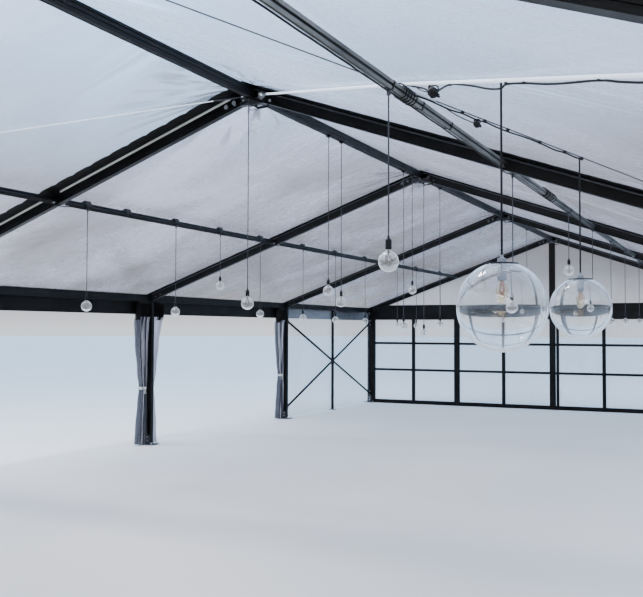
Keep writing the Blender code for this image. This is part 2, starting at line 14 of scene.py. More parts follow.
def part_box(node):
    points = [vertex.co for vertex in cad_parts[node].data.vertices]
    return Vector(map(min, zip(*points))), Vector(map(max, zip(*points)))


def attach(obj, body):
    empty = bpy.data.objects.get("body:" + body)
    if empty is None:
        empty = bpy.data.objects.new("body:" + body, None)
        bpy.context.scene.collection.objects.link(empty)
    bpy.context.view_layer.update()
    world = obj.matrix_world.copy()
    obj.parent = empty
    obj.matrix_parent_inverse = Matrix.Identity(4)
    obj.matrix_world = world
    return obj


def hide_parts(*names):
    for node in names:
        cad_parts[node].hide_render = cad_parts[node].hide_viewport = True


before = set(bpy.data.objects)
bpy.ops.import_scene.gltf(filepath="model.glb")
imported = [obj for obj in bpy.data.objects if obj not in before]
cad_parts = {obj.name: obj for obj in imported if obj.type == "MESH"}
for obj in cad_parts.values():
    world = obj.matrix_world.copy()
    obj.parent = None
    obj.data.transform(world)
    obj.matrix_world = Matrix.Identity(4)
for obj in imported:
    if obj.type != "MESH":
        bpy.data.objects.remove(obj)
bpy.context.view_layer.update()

# %% [markdown]
# The camera stands inside the tent, in the first bay and close to its right-hand wall. It could be
# aimed with a tracking constraint, but a matrix made of its three directions shows what yaw, pitch
# and roll do, and it holds the view to a pixel.

# %% Camera
CAMERA_PLACE = (4.313, -9.87, 2.0)
LENS, SENSOR = 48.62, 36.0
YAW, PITCH, ROLL = (math.radians(a) for a in (25.806, 2.064, 0.173))
camera_data = bpy.data.cameras.new("camera")
camera_data.lens, camera_data.sensor_width = LENS, SENSOR
camera_data.clip_end = 600.0
ahead = Vector((-math.sin(YAW) * math.cos(PITCH), math.cos(YAW) * math.cos(PITCH), math.sin(PITCH)))
level = Vector((math.cos(YAW), math.sin(YAW), 0.0))
upward = level.cross(ahead)
right = level * math.cos(ROLL) + upward * math.sin(ROLL)
above = upward * math.cos(ROLL) - level * math.sin(ROLL)
camera = bpy.data.objects.new("camera", camera_data)
camera.matrix_world = Matrix((right, above, -ahead)).transposed().to_4x4()
camera.location = CAMERA_PLACE
bpy.context.scene.collection.objects.link(camera)
bpy.context.scene.camera = camera
print("camera at", tuple(camera.location))

# %% [markdown]
# The tent's main measures come from the boxes of its solids, so the dressing follows them. The
# slope of the roof is typed: it is the rise of a rafter over one metre.

# %% Measures of the tent
SLOPE = 0.357
TILT = math.atan(SLOPE)
FRAME_COUNT = 6
FRAME_LINES = [sum(corner.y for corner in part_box(f"rafter_pair_{number}")) / 2
               for number in range(1, FRAME_COUNT + 1)]
BAY_LENGTH = FRAME_LINES[1] - FRAME_LINES[0]
rafter_low, rafter_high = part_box("rafter_pair_1")
FRAME_WIDTH = rafter_high.y - rafter_low.y
RAFTER_END, APEX = rafter_high.x, rafter_high.z
SIDES = {"left": -1, "right": 1}
ENDS = ("front", "rear")


def roof_top(x):
    """Height of the outer roof line, x metres from the middle."""
    return APEX - SLOPE * abs(x)


print("frames at", FRAME_LINES, "apex", APEX, "slope in degrees", math.degrees(TILT))

# %% [markdown]
# A material is a small network of nodes, and so is a sky. Shader maths reads best as plain
# expressions, so a tiny class wraps a socket and lets `mask * 2 + 0.1` add its own Math nodes.
# One method makes every other node.

# %% Nodes and their values
class Value:
    """A socket that adds Math nodes when it is used in an expression."""

    def __init__(self, nodes, socket):
        self.nodes, self.socket = nodes, socket

    def math(self, operation, other):
        return self.nodes.node("ShaderNodeMath", {"operation": operation}, {0: self, 1: other})

    def __add__(self, other):
        return self.math("ADD", other)

    def __sub__(self, other):
        return self.math("SUBTRACT", other)

    def __mul__(self, other):
        return self.math("MULTIPLY", other)

    def __pow__(self, other):
        return self.math("POWER", other)

    __radd__, __rmul__ = __add__, __mul__


class Nodes:
    """The nodes of a material or a sky, and the coordinates that they read."""

    def __init__(self, tree, coordinates="Object"):
        self.tree = tree
        self.place = self.node("ShaderNodeTexCoord", output=coordinates)

    def node(self, kind, settings=None, sockets=None, output=0):
        """Adds a node with its settings, feeds its sockets and gives one of its outputs."""
        made = self.tree.nodes.new(kind)
        for key, value in (settings or {}).items():
            setattr(made, key, value)
        for key, value in (sockets or {}).items():
            self.feed(made.inputs[key], value)
        return Value(self, made.outputs[output])

    def feed(self, socket, value):
        """Links a value to a socket, or types a plain number or colour into it."""
        if isinstance(value, Value):
            self.tree.links.new(value.socket, socket)
        else:
            socket.default_value = value

    def axis(self, number):
        """The place along X, Y or Z, for 0, 1 or 2."""
        return self.node("ShaderNodeSeparateXYZ", None, {0: self.place}, output=number)

    def span(self, value, low, high, start=0.0, end=1.0):
        """Takes the part of a value between low and high, and spreads it from start to end."""
        return self.node("ShaderNodeMapRange", None,
                         {"Value": value, "From Min": low, "From Max": high,
                          "To Min": start, "To Max": end})


print("node helpers ready")

# %% [markdown]
# Real finishes are never even, so each of ours mixes two tones by a mask, moves its roughness and
# adds a little relief. A finish is a Principled shader with short methods for those three things.

# %% A finish
EVEN = (1.0, 1.0, 1.0)


def tint(red, green, blue):
    """A colour with full alpha."""
    return (red, green, blue, 1.0)


class Finish(Nodes):
    """One material: a Principled shader and the nodes that vary it over the surface."""

    def __init__(self, name, **values):
        self.material = bpy.data.materials.new(name)
        self.material.use_nodes = True
        super().__init__(self.material.node_tree)
        self.shader = self.tree.nodes["Principled BSDF"]
        self.set(**values)

    def set(self, **values):
        """Feeds the shader's own sockets, named with underscores."""
        for key, value in values.items():
            self.feed(self.shader.inputs[key.replace("_", " ")], value)

    def cloud(self, stretch, scale=1.0, detail=3.0, rough=0.55, bend=0.0):
        """Noise from 0 to 1, drawn out or squeezed by a stretch for each axis."""
        mapped = self.node("ShaderNodeMapping", None, {"Vector": self.place, "Scale": stretch})
        return self.node("ShaderNodeTexNoise", None,
                         {"Vector": mapped, "Scale": scale, "Detail": detail,
                          "Roughness": rough, "Distortion": bend})

    def blend(self, mask, first, second):
        """Mixes two colours by a mask."""
        return self.node("ShaderNodeMix", {"data_type": "RGBA"}, {0: mask, 6: first, 7: second},
                         output=2)

    def bump(self, height, distance, strength=1.0, onto=None):
        """Relief from a height, laid over another relief if one is given."""
        sockets = {"Height": height, "Distance": distance, "Strength": strength}
        if onto:
            sockets["Normal"] = onto
        return self.node("ShaderNodeBump", None, sockets)


print("finish helpers ready")

# %% [markdown]
# The frames are extruded aluminium with a black satin coat, which dust dulls in patches. A plain
# black would look like a hole, so roughness and colour both vary. Its gloss is weak and a little
# warm, because a strong blue one from the sky would turn the black to grey.

# %% Coated metal
WARM_GLOSS = tint(1.0, 0.92, 0.84)


def coated_metal(name, colour, dusty, shine):
    """Satin paint on metal: a colour, its dusty tone and a base roughness."""
    coat = Finish(name, Metallic=0.0, IOR=1.5, Specular_IOR_Level=0.14, Specular_Tint=WARM_GLOSS)
    dust = coat.cloud(EVEN, 3.1, 5.0)
    fine = coat.cloud(EVEN, 160.0, 2.0)
    coat.set(Base_Color=coat.blend(coat.span(dust, 0.42, 0.75), colour, dusty),
             Roughness=coat.span(dust, 0.3, 0.8, shine, shine + 0.2),
             Normal=coat.bump(fine, 0.0004, 0.4))
    return coat.material


black_coat = coated_metal("black_coat", tint(0.0018, 0.0020, 0.0024), tint(0.006, 0.006, 0.007),
                          0.36)
# A lighter copy of the black coat: a painted sheen for the ridge and eave purlins.
sheen_grey_coat = coated_metal("sheen_grey_coat", tint(0.0045, 0.005, 0.006), tint(0.010, 0.011, 0.013), 0.40)
print("coats:", black_coat.name, sheen_grey_coat.name)

# %% [markdown]
# Bare aluminium shows lines drawn along it by the die, and zinc on bolts and plates is mottled.
# Both are metals, so their colour is their reflection. Stains, roughness and a little bump tell
# them apart.

# %% Bare metals
def bare_metal(name, colour, stained, rough, lines, weathered=0.0):
    """Uncoated metal with fine lines along one axis, and stains that grow towards the rear."""
    metal = Finish(name, Metallic=1.0)
    rearward = metal.span(metal.axis(1), -5.0, 2.0, 0.0, weathered)
    stain = metal.cloud((1.0, 0.35, 1.0), 5.0, 5.0) + rearward
    drawn = metal.cloud(lines, 1.0, 2.0)
    metal.set(Base_Color=metal.blend(metal.span(stain, 0.35, 0.75), colour, stained),
              Roughness=metal.span(drawn, 0.3, 0.7, rough, rough + 0.18),
              Normal=metal.bump(drawn, 0.0006, 0.5))
    return metal.material


aluminium = bare_metal("aluminium", tint(0.30, 0.295, 0.28), tint(0.05, 0.05, 0.048), 0.46,
                       (260.0, 0.7, 260.0), weathered=0.14)
zinc = bare_metal("zinc", tint(0.55, 0.56, 0.57), tint(0.36, 0.37, 0.38), 0.36, (90.0, 90.0, 90.0))
dark_steel = bare_metal("dark_steel", tint(0.10, 0.10, 0.11), tint(0.05, 0.05, 0.055), 0.42,
                        (60.0, 60.0, 60.0))
print("metals:", aluminium.name, zinc.name, dark_steel.name)

# %% [markdown]
# The film is clear vinyl under two millimetres thick. It isn't window glass: it is hazy, and
# covered with soft streaks where it was pulled through the frames. Haze is the part of the film
# that isn't seen through, so broad clouds and patches of fine streaks drive Alpha, and the same
# streaks make the bump. The streaks also lighten and darken the colour, as painted highlight and
# painted shade of wrinkles. The right-hand slope is the more streaked one.

# %% Clear film
THIN_HAZE_AND_STREAK_SHADE = 0.42


def clear_film(name, colour, haze, cloudiness, streakiness, shine, streaks, wrinkle):
    """Hazy vinyl, with its haze and its colour as values that more can be added to.

    It is told its haze, how much clouds and streaks change that, its roughness, how the streaks
    are stretched, and the depth of its relief.
    """
    film = Finish(name, IOR=1.45)
    broad = film.cloud((0.7, 1.3, 1.0), 0.50, 3.0, 0.45, 0.6)
    patch = film.span(film.cloud((0.6, 1.2, 1.0), 0.80, 2.0), 0.47, 0.66)
    patch = patch * film.span(film.axis(0), -1.5, 1.5, 0.15, 1.3)
    streak = film.cloud(streaks, 1.0, 3.0, 0.5, 0.8)
    scuff = film.cloud(EVEN, 7.0, 4.0, 0.6)
    lines = patch * (streak - 0.5)
    haze_map = haze + cloudiness * (broad - 0.5) + streakiness * lines
    haze_map = haze_map + film.span(scuff, 0.62, 0.8, 0.0, 0.03)
    # Thin clouds darken the colour as a thinner haze. The streaks lighten and darken it as painted
    # highlight and shade of wrinkles.
    milky_haze_and_streak_light = film.span(broad + lines * 1.1, 0.36, 0.62)
    colour_map = film.blend(milky_haze_and_streak_light, tint(*(THIN_HAZE_AND_STREAK_SHADE * c for c in colour[:3])), colour)
    film.set(Base_Color=colour_map, Alpha=haze_map,
             Roughness=film.span(scuff, 0.35, 0.75, shine, shine + 0.16),
             Normal=film.bump(broad + streak * 0.15, wrinkle, 0.5))
    return film, haze_map, colour_map


roof_finish, roof_haze, roof_colour = clear_film(
    "roof_film", tint(0.77, 0.75, 0.83), haze=0.35, cloudiness=0.66, streakiness=1.15, shine=0.20,
    streaks=(0.55, 6.0, 0.5), wrinkle=0.008)
wall_finish = clear_film(
    "wall_film", tint(0.66, 0.68, 0.74), haze=0.19, cloudiness=0.16, streakiness=0.30, shine=0.18,
    streaks=(2.0, 2.0, 0.8), wrinkle=0.006)[0]
roof_film, wall_film = roof_finish.material, wall_finish.material
print("films:", roof_film.name, wall_film.name)

# %% [markdown]
# Where the film is pulled round an apex, it creases, and the creases fan out from there. Their
# pattern is noise read by the angle round the nearest apex, so it needs no image, and it fades with
# distance. The creases close Alpha and darken the colour, a painted shade in the creases. The colour
# also darkens towards the rear of the tent.

# %% Creases that fan from the apexes with painted shade, and a rearward darkening
CREASE_REACH = 1.5
across = roof_finish.axis(0).math("ABSOLUTE", 0.0)
along = (roof_finish.axis(1) - FRAME_LINES[0]).math("PINGPONG", BAY_LENGTH / 2)
reach = (across * across + along * along) ** 0.5
angle = across.math("ARCTAN2", along)
fan_place = roof_finish.node("ShaderNodeCombineXYZ", None,
                             {0: angle * 5.0, 1: reach * 0.5, 2: roof_finish.axis(1)})
fan = roof_finish.node("ShaderNodeTexNoise", None,
                       {"Vector": fan_place, "Scale": 1.6, "Detail": 3.0})
crease_and_shade = roof_finish.span(fan, 0.50, 0.66) * roof_finish.span(reach, 0.10, CREASE_REACH, 1.0, 0.0)
age = roof_finish.span(roof_finish.axis(1), -4.0, 9.0, 0.0, 0.45)
darkened_rearward = roof_finish.blend(age, roof_colour, tint(0.22, 0.22, 0.24))
# Painted shade: the creases darken the film's colour. The colour also darkens towards the rear.
roof_finish.set(Alpha=roof_haze + crease_and_shade * 0.50,
                Base_Color=roof_finish.blend(crease_and_shade * 0.9, darkened_rearward, tint(0.07, 0.075, 0.09)))
print("creases fade out", CREASE_REACH, "metres from each apex")

# %% [markdown]
# Curtain film is the same vinyl, but folded. The light on its outer folds is painted in as pale
# lilac edges, and the cloth between them is painted dark and is seen through. Each curtain's mesh
# carries how near a point is to the crest of a fold, with painted light added, and that value
# lightens the colour and closes Alpha.

# %% Curtain film
folded = Finish("curtain_film", IOR=1.45)
crest_and_light = folded.node("ShaderNodeAttribute", {"attribute_name": "crest_and_light"}, output=2)
limp = folded.cloud((4.0, 4.0, 0.5), 1.0, 4.0, 0.6)
# Painted highlight on the fold crests, and painted shade between them.
pale = folded.span(crest_and_light + limp * 0.5, 0.55, 1.2)
folded.set(Base_Color=folded.blend(pale, tint(0.10, 0.10, 0.12), tint(0.90, 0.86, 0.92)),
           Alpha=folded.span(crest_and_light + limp * 0.6, 0.3, 1.3, 0.38, 0.88),
           Roughness=folded.span(limp, 0.35, 0.7, 0.16, 0.34),
           Normal=folded.bump(limp, 0.006, 0.6))
curtain_film = folded.material
print("curtain finish:", curtain_film.name)

# %% [markdown]
# Hems, headers and valances are black vinyl coated over a woven scrim, so a fine weave shows in the
# gloss. Three crossed waves make the weave whichever way a cloth faces, and a cloud adds the dust
# that black cloth always carries. The welts that hold the films in their tracks are the same cloth.

# %% Black vinyl and welts
def vinyl(name, colour, dusty, rough):
    """Coated cloth with the weave of its scrim showing through."""
    cloth = Finish(name, IOR=1.46, Specular_IOR_Level=0.16, Specular_Tint=WARM_GLOSS)
    threads = [cloth.node("ShaderNodeTexWave", {"bands_direction": letter},
                          {"Vector": cloth.place, "Scale": 190.0, "Distortion": 0.6})
               for letter in "XYZ"]
    weave = threads[0] + threads[1] + threads[2]
    dust = cloth.cloud((1.0, 1.0, 0.6), 2.3, 5.0)
    rumple = cloth.cloud((3.0, 3.0, 0.8), 2.0, 3.0)
    cloth.set(Base_Color=cloth.blend(cloth.span(dust, 0.4, 0.8), colour, dusty),
              Roughness=cloth.span(dust, 0.3, 0.8, rough, rough + 0.2),
              Normal=cloth.bump(rumple, 0.006, 0.5, cloth.bump(weave, 0.0003, 0.35)))
    return cloth.material


black_vinyl = vinyl("black_vinyl", tint(0.0020, 0.0020, 0.0025), tint(0.007, 0.007, 0.008), 0.42)
pale_welt = vinyl("pale_welt", tint(0.62, 0.60, 0.54), tint(0.42, 0.40, 0.36), 0.45)
dark_welt = vinyl("dark_welt", tint(0.05, 0.05, 0.055), tint(0.09, 0.09, 0.095), 0.45)
print("cloths:", black_vinyl.name, pale_welt.name, dark_welt.name)

# %% [markdown]
# The tent stands on a plain pale floor. A disc is enough, wide and pale so that it ends far out.

# %% Floor
FLOOR_REACH, FLOOR_LEVEL = 260.0, -0.001
floor_mesh = bmesh.new()
bmesh.ops.create_circle(floor_mesh, cap_ends=True, segments=96, radius=FLOOR_REACH)
floor_data = bpy.data.meshes.new("floor")
floor_mesh.to_mesh(floor_data)
floor_mesh.free()
floor = bpy.data.objects.new("floor", floor_data)
floor.location.z = FLOOR_LEVEL
floor_paint = Finish("floor_paint", Roughness=0.8)
floor_paint.set(Base_Color=floor_paint.blend(floor_paint.cloud(EVEN, 0.35, 3.0),
                                             tint(0.57, 0.515, 0.465), tint(0.62, 0.565, 0.515)))
floor_data.materials.append(floor_paint.material)
bpy.context.scene.collection.objects.link(floor)
print("floor of radius", FLOOR_REACH)

# %% [markdown]
# The sky is a soft gradient: dull lilac grey low down and bright pale blue higher up, so that the
# film looks lit from above and gloss and glass have something to mirror. The gradient is read by
# height, and on the right the height counts for less, so the dull part reaches higher there.

# %% Sky
SKY = [(0.0, tint(0.43, 0.46, 0.495)), (0.02, tint(0.34, 0.355, 0.38)),
       (0.05, tint(0.145, 0.140, 0.150)), (0.11, tint(0.185, 0.180, 0.205)),
       (0.15, tint(0.26, 0.275, 0.335)), (0.22, tint(0.42, 0.59, 0.84)),
       (0.37, tint(0.74, 1.16, 1.76)), (0.8, tint(0.62, 0.94, 1.42))]
SKY_STRENGTH = 2.4
world = bpy.data.worlds.new("sky")
bpy.context.scene.world = world
world.use_nodes = True
sky = Nodes(world.node_tree, "Generated")
rightward = sky.span(sky.axis(0), -0.62, -0.32, 1.0, 0.76)
ramp = sky.node("ShaderNodeValToRGB", None, {"Fac": sky.axis(2) * rightward})
stops = ramp.socket.node.color_ramp.elements
for index, (height, colour) in enumerate(SKY):
    stop = stops[index] if index < len(stops) else stops.new(height)
    stop.position, stop.color = height, colour
background = world.node_tree.nodes["Background"]
sky.feed(background.inputs["Color"], ramp)
sky.feed(background.inputs["Strength"], SKY_STRENGTH)
print("sky of", len(stops), "tones")

# %% [markdown]
# Two wide soft lamps outside give the film its long highlights, and a small one puts glints on the
# glass. They are hidden from the camera, so no bright rectangle shows through the clear sheets.

# %% Soft lamps
def soft_light(name, at, aim, size, power):
    """A wide soft lamp that lights the tent but isn't seen itself."""
    data = bpy.data.lights.new(name, "AREA")
    data.shape, data.energy, data.color = "RECTANGLE", power, (1.0, 0.97, 0.94)
    data.size, data.size_y = size
    lamp = bpy.data.objects.new(name, data)
    lamp.location = at
    lamp.rotation_euler = (Vector(aim) - Vector(at)).to_track_quat("-Z", "Y").to_euler()
    lamp.visible_camera = False
    bpy.context.scene.collection.objects.link(lamp)


soft_light("light_overhead", (-6.0, -4.0, 16.0), (0.0, 0.0, 0.0), (18.0, 26.0), 3800.0)
soft_light("light_front", (10.0, -24.0, 9.0), (0.0, -4.0, 1.5), (14.0, 8.0), 3600.0)
soft_light("light_glint", (-3.4, -3.0, 12.0), (3.0, -5.5, 2.0), (2.2, 2.2), 2400.0)
print("three soft lamps set")

# %% [markdown]
# Every piece is built at its place in its mesh, so its object stays at the origin. Parts of a piece
# are made one by one, each in a bmesh of its own, then laid into the piece with a matrix and given
# a material slot.

# %% From parts to a piece
def lay_in(piece, part, place=Matrix(), slot=None):
    """Puts a finished part into a piece; slot is its place in the piece's list of materials."""
    if slot is not None:
        for face in part.faces:
            face.material_index = slot
    bmesh.ops.transform(part, matrix=place, verts=part.verts)
    bmesh.ops.recalc_face_normals(part, faces=part.faces)
    scrap = bpy.data.meshes.new("scrap")
    part.to_mesh(scrap)
    part.free()
    piece.from_mesh(scrap)
    bpy.data.meshes.remove(scrap)


def finished(name, piece, materials, replaced=(), smooth=None):
    """Makes the object, hangs its materials on it, and hides the solids that it replaces."""
    mesh = bpy.data.meshes.new(name)
    piece.to_mesh(mesh)
    piece.free()
    for material in materials:
        mesh.materials.append(material)
    if smooth:
        mesh.shade_smooth()
        mesh.set_sharp_from_angle(angle=math.radians(smooth))
    made = bpy.data.objects.new(name, mesh)
    bpy.context.scene.collection.objects.link(made)
    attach(made, "root")
    if replaced:
        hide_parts(*replaced)
    return made


print("a piece is laid together, then finished")

# %% [markdown]
# A few small tools are shared by all shapes: a matrix that faces a part along a direction, a saw
# that cuts at a plane, and a way to pick one kind of element out of what an operator gives back.

# %% Facing, sawing and picking
def facing(ahead, up, at):
    """A matrix that turns local Z to ahead and local Y to up, and moves to a point."""
    ahead = Vector(ahead).normalized()
    across = Vector(up).cross(ahead).normalized()
    turned = Matrix((across, ahead.cross(across), ahead)).transposed().to_4x4()
    return Matrix.Translation(at) @ turned


def outward(turn, turns):
    """A level direction, one of several spread round a circle."""
    angle = math.tau * turn / turns
    return Vector((math.cos(angle), math.sin(angle), 0.0))


def whole(part):
    return part.verts[:] + part.edges[:] + part.faces[:]


def only(kind, elements):
    """The elements of one kind, BMVert or BMEdge."""
    return [element for element in elements if isinstance(element, kind)]


def trim(part, point, normal, closed=True):
    """Saws off what lies beyond a plane, and closes the cut."""
    cut = bmesh.ops.bisect_plane(part, geom=whole(part), plane_co=point, plane_no=normal,
                                 clear_outer=True)["geom_cut"]
    if closed:
        bmesh.ops.holes_fill(part, edges=only(bmesh.types.BMEdge, cut))
    return part


print("facing, sawing and picking ready")

# %% [markdown]
# An extruded profile is one section pushed along a line. The section starts as a flat rectangle;
# the plane cuts mark out its channels, their cells are thrown away, and the face that is left is
# extruded. A tiny bevel on the long edges catches the light as the real rounded corners do.

# %% Profiles and plates
EASE = 0.0015


def profile(width, height, length, channels=(), ease=EASE):
    """A bar along Z with channels cut in its section, each (low x, low y, high x, high y)."""
    part = bmesh.new()
    bmesh.ops.create_grid(part, x_segments=1, y_segments=1, size=0.5)
    bmesh.ops.scale(part, vec=(width, height, 1.0), verts=part.verts)
    for low_x, low_y, high_x, high_y in channels:
        for at, way in (((low_x, 0, 0), (1, 0, 0)), ((high_x, 0, 0), (1, 0, 0)),
                        ((0, low_y, 0), (0, 1, 0)), ((0, high_y, 0), (0, 1, 0))):
            bmesh.ops.bisect_plane(part, geom=whole(part), plane_co=at, plane_no=way)
    centres = [(face, face.calc_center_median()) for face in part.faces]
    waste = [face for face, centre in centres
             if any(a < centre.x < c and b < centre.y < d for a, b, c, d in channels)]
    bmesh.ops.delete(part, geom=waste, context="FACES")
    bmesh.ops.dissolve_limit(part, angle_limit=0.01, verts=part.verts, edges=part.edges)
    grown = bmesh.ops.extrude_face_region(part, geom=part.faces[:])["geom"]
    bmesh.ops.translate(part, vec=(0, 0, length), verts=only(bmesh.types.BMVert, grown))
    long_edges = [edge for edge in part.edges
                  if abs(edge.verts[0].co.z - edge.verts[1].co.z) > length / 2]
    bmesh.ops.bevel(part, geom=long_edges, offset=ease, segments=1, profile=0.5, affect="EDGES",
                    material=-1)
    return part


def mirrored(channels):
    """The same channels on the other side as well."""
    return [*channels, *((-c, b, -a, d) for a, b, c, d in channels)]


def box_part(first, second, ease=EASE):
    """A plate or block between any two opposite corners, with eased edges."""
    low, high = (Vector([pick(a, b) for a, b in zip(first, second)]) for pick in (min, max))
    part = bmesh.new()
    bmesh.ops.create_cube(part, size=1.0)
    bmesh.ops.scale(part, vec=high - low, verts=part.verts)
    bmesh.ops.translate(part, vec=(low + high) / 2, verts=part.verts)
    bmesh.ops.bevel(part, geom=part.edges[:], offset=ease, segments=1, profile=0.5, affect="EDGES",
                    material=-1)
    return part


print("profiles have their edges eased by", EASE)

# %% [markdown]
# Cables, tubes and rods are a ring of edges that is extruded again and again along a line of
# points, turned a little at each. Bulbs, sockets and knots are outlines spun round an axis, as on a
# lathe. A bolt is a hexagon head on its washer, and points away from the face that it sits on.

# %% Tubes, turned parts and bolts
BIG_BOLT, BOLT, PIN_BOLT, SMALL_BOLT, EYE_BOLT = (
    (0.011, 0.017), (0.009, 0.014), (0.009, 0.013), (0.008, 0.012), (0.012, 0.023))


def tube_part(points, radius, sides=8):
    """A round section pushed along a line of points, with both ends closed."""
    points = [Vector(point) for point in points]
    ways = [(points[min(i + 1, len(points) - 1)] - points[max(i - 1, 0)]).normalized()
            for i in range(len(points))]
    radii = radius if hasattr(radius, "__len__") else [radius] * len(points)
    part = bmesh.new()
    upright = Vector((0, 0, 1)).rotation_difference(ways[0]).to_matrix().to_4x4()
    bmesh.ops.create_circle(part, cap_ends=True, segments=sides, radius=radii[0],
                            matrix=Matrix.Translation(points[0]) @ upright)
    ring = part.edges[:]
    for index in range(1, len(points)):
        grown = bmesh.ops.extrude_edge_only(part, edges=ring)["geom"]
        ring = [edge for edge in only(bmesh.types.BMEdge, grown) if edge.is_boundary]
        swing = ways[index - 1].rotation_difference(ways[index]).to_matrix().to_4x4()
        size = Matrix.Scale(radii[index] / radii[index - 1], 4)
        move = (Matrix.Translation(points[index]) @ swing @ size
                @ Matrix.Translation(-points[index - 1]))
        bmesh.ops.transform(part, matrix=move, verts=only(bmesh.types.BMVert, grown))
    bmesh.ops.contextual_create(part, geom=ring)
    return part


def turned_part(outline, sides=16):
    """A shape turned on a lathe: the outline is (radius, height) pairs, closed by the axis."""
    part = bmesh.new()
    line = [part.verts.new((radius, 0.0, height)) for radius, height in outline]
    edges = [part.edges.new(pair) for pair in zip(line, line[1:])]
    bmesh.ops.spin(part, geom=line + edges, axis=(0, 0, 1), cent=(0, 0, 0), angle=math.tau,
                   steps=sides, use_merge=True)
    bmesh.ops.remove_doubles(part, verts=part.verts, dist=1e-6)
    return part


def bolt_part(size, washer):
    """A hexagon head on a washer, standing on the ground and pointing up."""
    part = bmesh.new()
    for sides, wide, narrow, tall, middle in ((14, washer, washer, 0.003, 0.0015),
                                              (6, size, size * 0.94, 0.009, 0.0075)):
        bmesh.ops.create_cone(part, cap_ends=True, segments=sides, radius1=wide, radius2=narrow,
                              depth=tall, matrix=Matrix.Translation((0, 0, middle)))
    return part


def lay_bolt(piece, sizes, way, at, slot):
    """Sets a bolt on an upright face that looks along way."""
    lay_in(piece, bolt_part(*sizes), facing(way, (0, 0, 1), at), slot)


print("tubes, turned parts and bolts ready")

# %% [markdown]
# A leg is a box profile with a channel for the welt of a wall at each outer corner, and a narrow
# line down the middle of each face. It stands on a foot plate between two lugs, held to the ground
# by four pegs.

# %% Legs on their feet
COAT, STEEL, BRIGHT, WELT, LIT_WELT_SLOT = range(5)
LEG_DEPTH = 0.13
LEG_LINE = RAFTER_END + LEG_DEPTH / 2
LEG_CHANNELS = mirrored([(-0.036, 0.040, -0.023, 0.052), (-0.036, -0.052, -0.023, -0.040),
                         (-0.036, -0.005, -0.030, 0.005)])
LEG_STOCK = 3.0
FOOT_THICK, PLATE_EASE = 0.012, 0.002
LUG_THICK, LUG_TOP, LUG_REACH = 0.008, 0.17, 0.055
LUG_BOLTS, EAVE_BOLTS = (0.07, 0.13), (2.44, 2.55)
PEG_HEIGHTS, PEG_RADII = (0.0, 0.020, 0.024, 0.030), (0.010, 0.010, 0.019, 0.017)
PEG_ACROSS, PEG_ALONG = 0.115, 0.078


def make_leg(side, number):
    """One leg, with its foot plate, lugs, pegs and the bolts of the eave joint."""
    sign, along = SIDES[side], FRAME_LINES[number - 1]
    middle = sign * LEG_LINE
    leg = bmesh.new()
    bar = profile(FRAME_WIDTH, LEG_DEPTH, LEG_STOCK, LEG_CHANNELS)
    upright = facing((0, 0, 1), (1, 0, 0), (middle, along, FOOT_THICK))
    bmesh.ops.transform(bar, matrix=upright, verts=bar.verts)
    trim(bar, (0, 0, APEX - 0.001), (sign * SLOPE, 0, 1))
    lay_in(leg, bar, slot=COAT)
    low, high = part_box(f"leg_{side}_{number}")
    lay_in(leg, box_part(low, (high.x, high.y, FOOT_THICK), PLATE_EASE), slot=STEEL)
    for face in (-1, 1):
        way, inner = (0, face, 0), along + face * FRAME_WIDTH / 2
        outer = along + face * (FRAME_WIDTH / 2 + LUG_THICK)
        lug = box_part((middle - LUG_REACH, inner, FOOT_THICK),
                       (middle + LUG_REACH, outer, LUG_TOP), PLATE_EASE)
        lay_in(leg, lug, slot=STEEL)
        for height in LUG_BOLTS:
            lay_bolt(leg, BIG_BOLT, way, (middle, outer, height), BRIGHT)
        for height in EAVE_BOLTS:
            lay_bolt(leg, BOLT, way, (middle, inner, height), BRIGHT)
        for place in (-PEG_ACROSS, PEG_ACROSS):
            peg = tube_part([(0, 0, height) for height in PEG_HEIGHTS], PEG_RADII, 12)
            at = (middle + place, along + face * PEG_ALONG, FOOT_THICK)
            lay_in(leg, peg, Matrix.Translation(at), BRIGHT)
    return finished(f"leg_{side}_{number}_profile", leg, [black_coat, dark_steel, zinc],
                    [f"leg_{side}_{number}"])


legs = [make_leg(side, number) for side in SIDES for number in range(1, FRAME_COUNT + 1)]
print(len(legs), "legs, first one has", len(legs[0].data.polygons), "faces")

# %% [markdown]
# A rafter pair is the same kind of profile, cut to the slope at both eaves and mitred at the apex.
# Only the right half is made: a mirror adds the left one and joins them.

# %% The bar of a rafter pair
RAFTER_DEPTH = 0.13
RAFTER_CHANNELS = mirrored([(-0.036, 0.030, -0.026, 0.043), (-0.036, -0.047, -0.028, -0.036)])
RAFTER_STOCK, STOCK_START = 6.2, 5.3
ROOF_GAP = 0.0002


def rafter_under(x):
    """Height of the underside of a rafter, x metres from the middle."""
    return roof_top(x) - RAFTER_DEPTH / math.cos(TILT)


def rafter_bar():
    """Both slopes of a rafter under the roof line."""
    ahead = Vector((-math.cos(TILT), 0, math.sin(TILT)))
    up = Vector((math.sin(TILT), 0, math.cos(TILT)))
    part = profile(FRAME_WIDTH, RAFTER_DEPTH, RAFTER_STOCK, RAFTER_CHANNELS)
    at = Vector((STOCK_START, 0, roof_top(STOCK_START))) - up * (RAFTER_DEPTH / 2 + ROOF_GAP)
    bmesh.ops.transform(part, matrix=facing(ahead, up, at), verts=part.verts)
    trim(part, (RAFTER_END, 0, 0), (1, 0, 0))
    trim(part, (0, 0, 0), (-1, 0, 0), closed=False)
    bmesh.ops.mirror(part, geom=whole(part), matrix=Matrix(), merge_dist=0.0005, axis="X")
    return part


print("rafter underside at the ridge", round(rafter_under(0.0), 3))
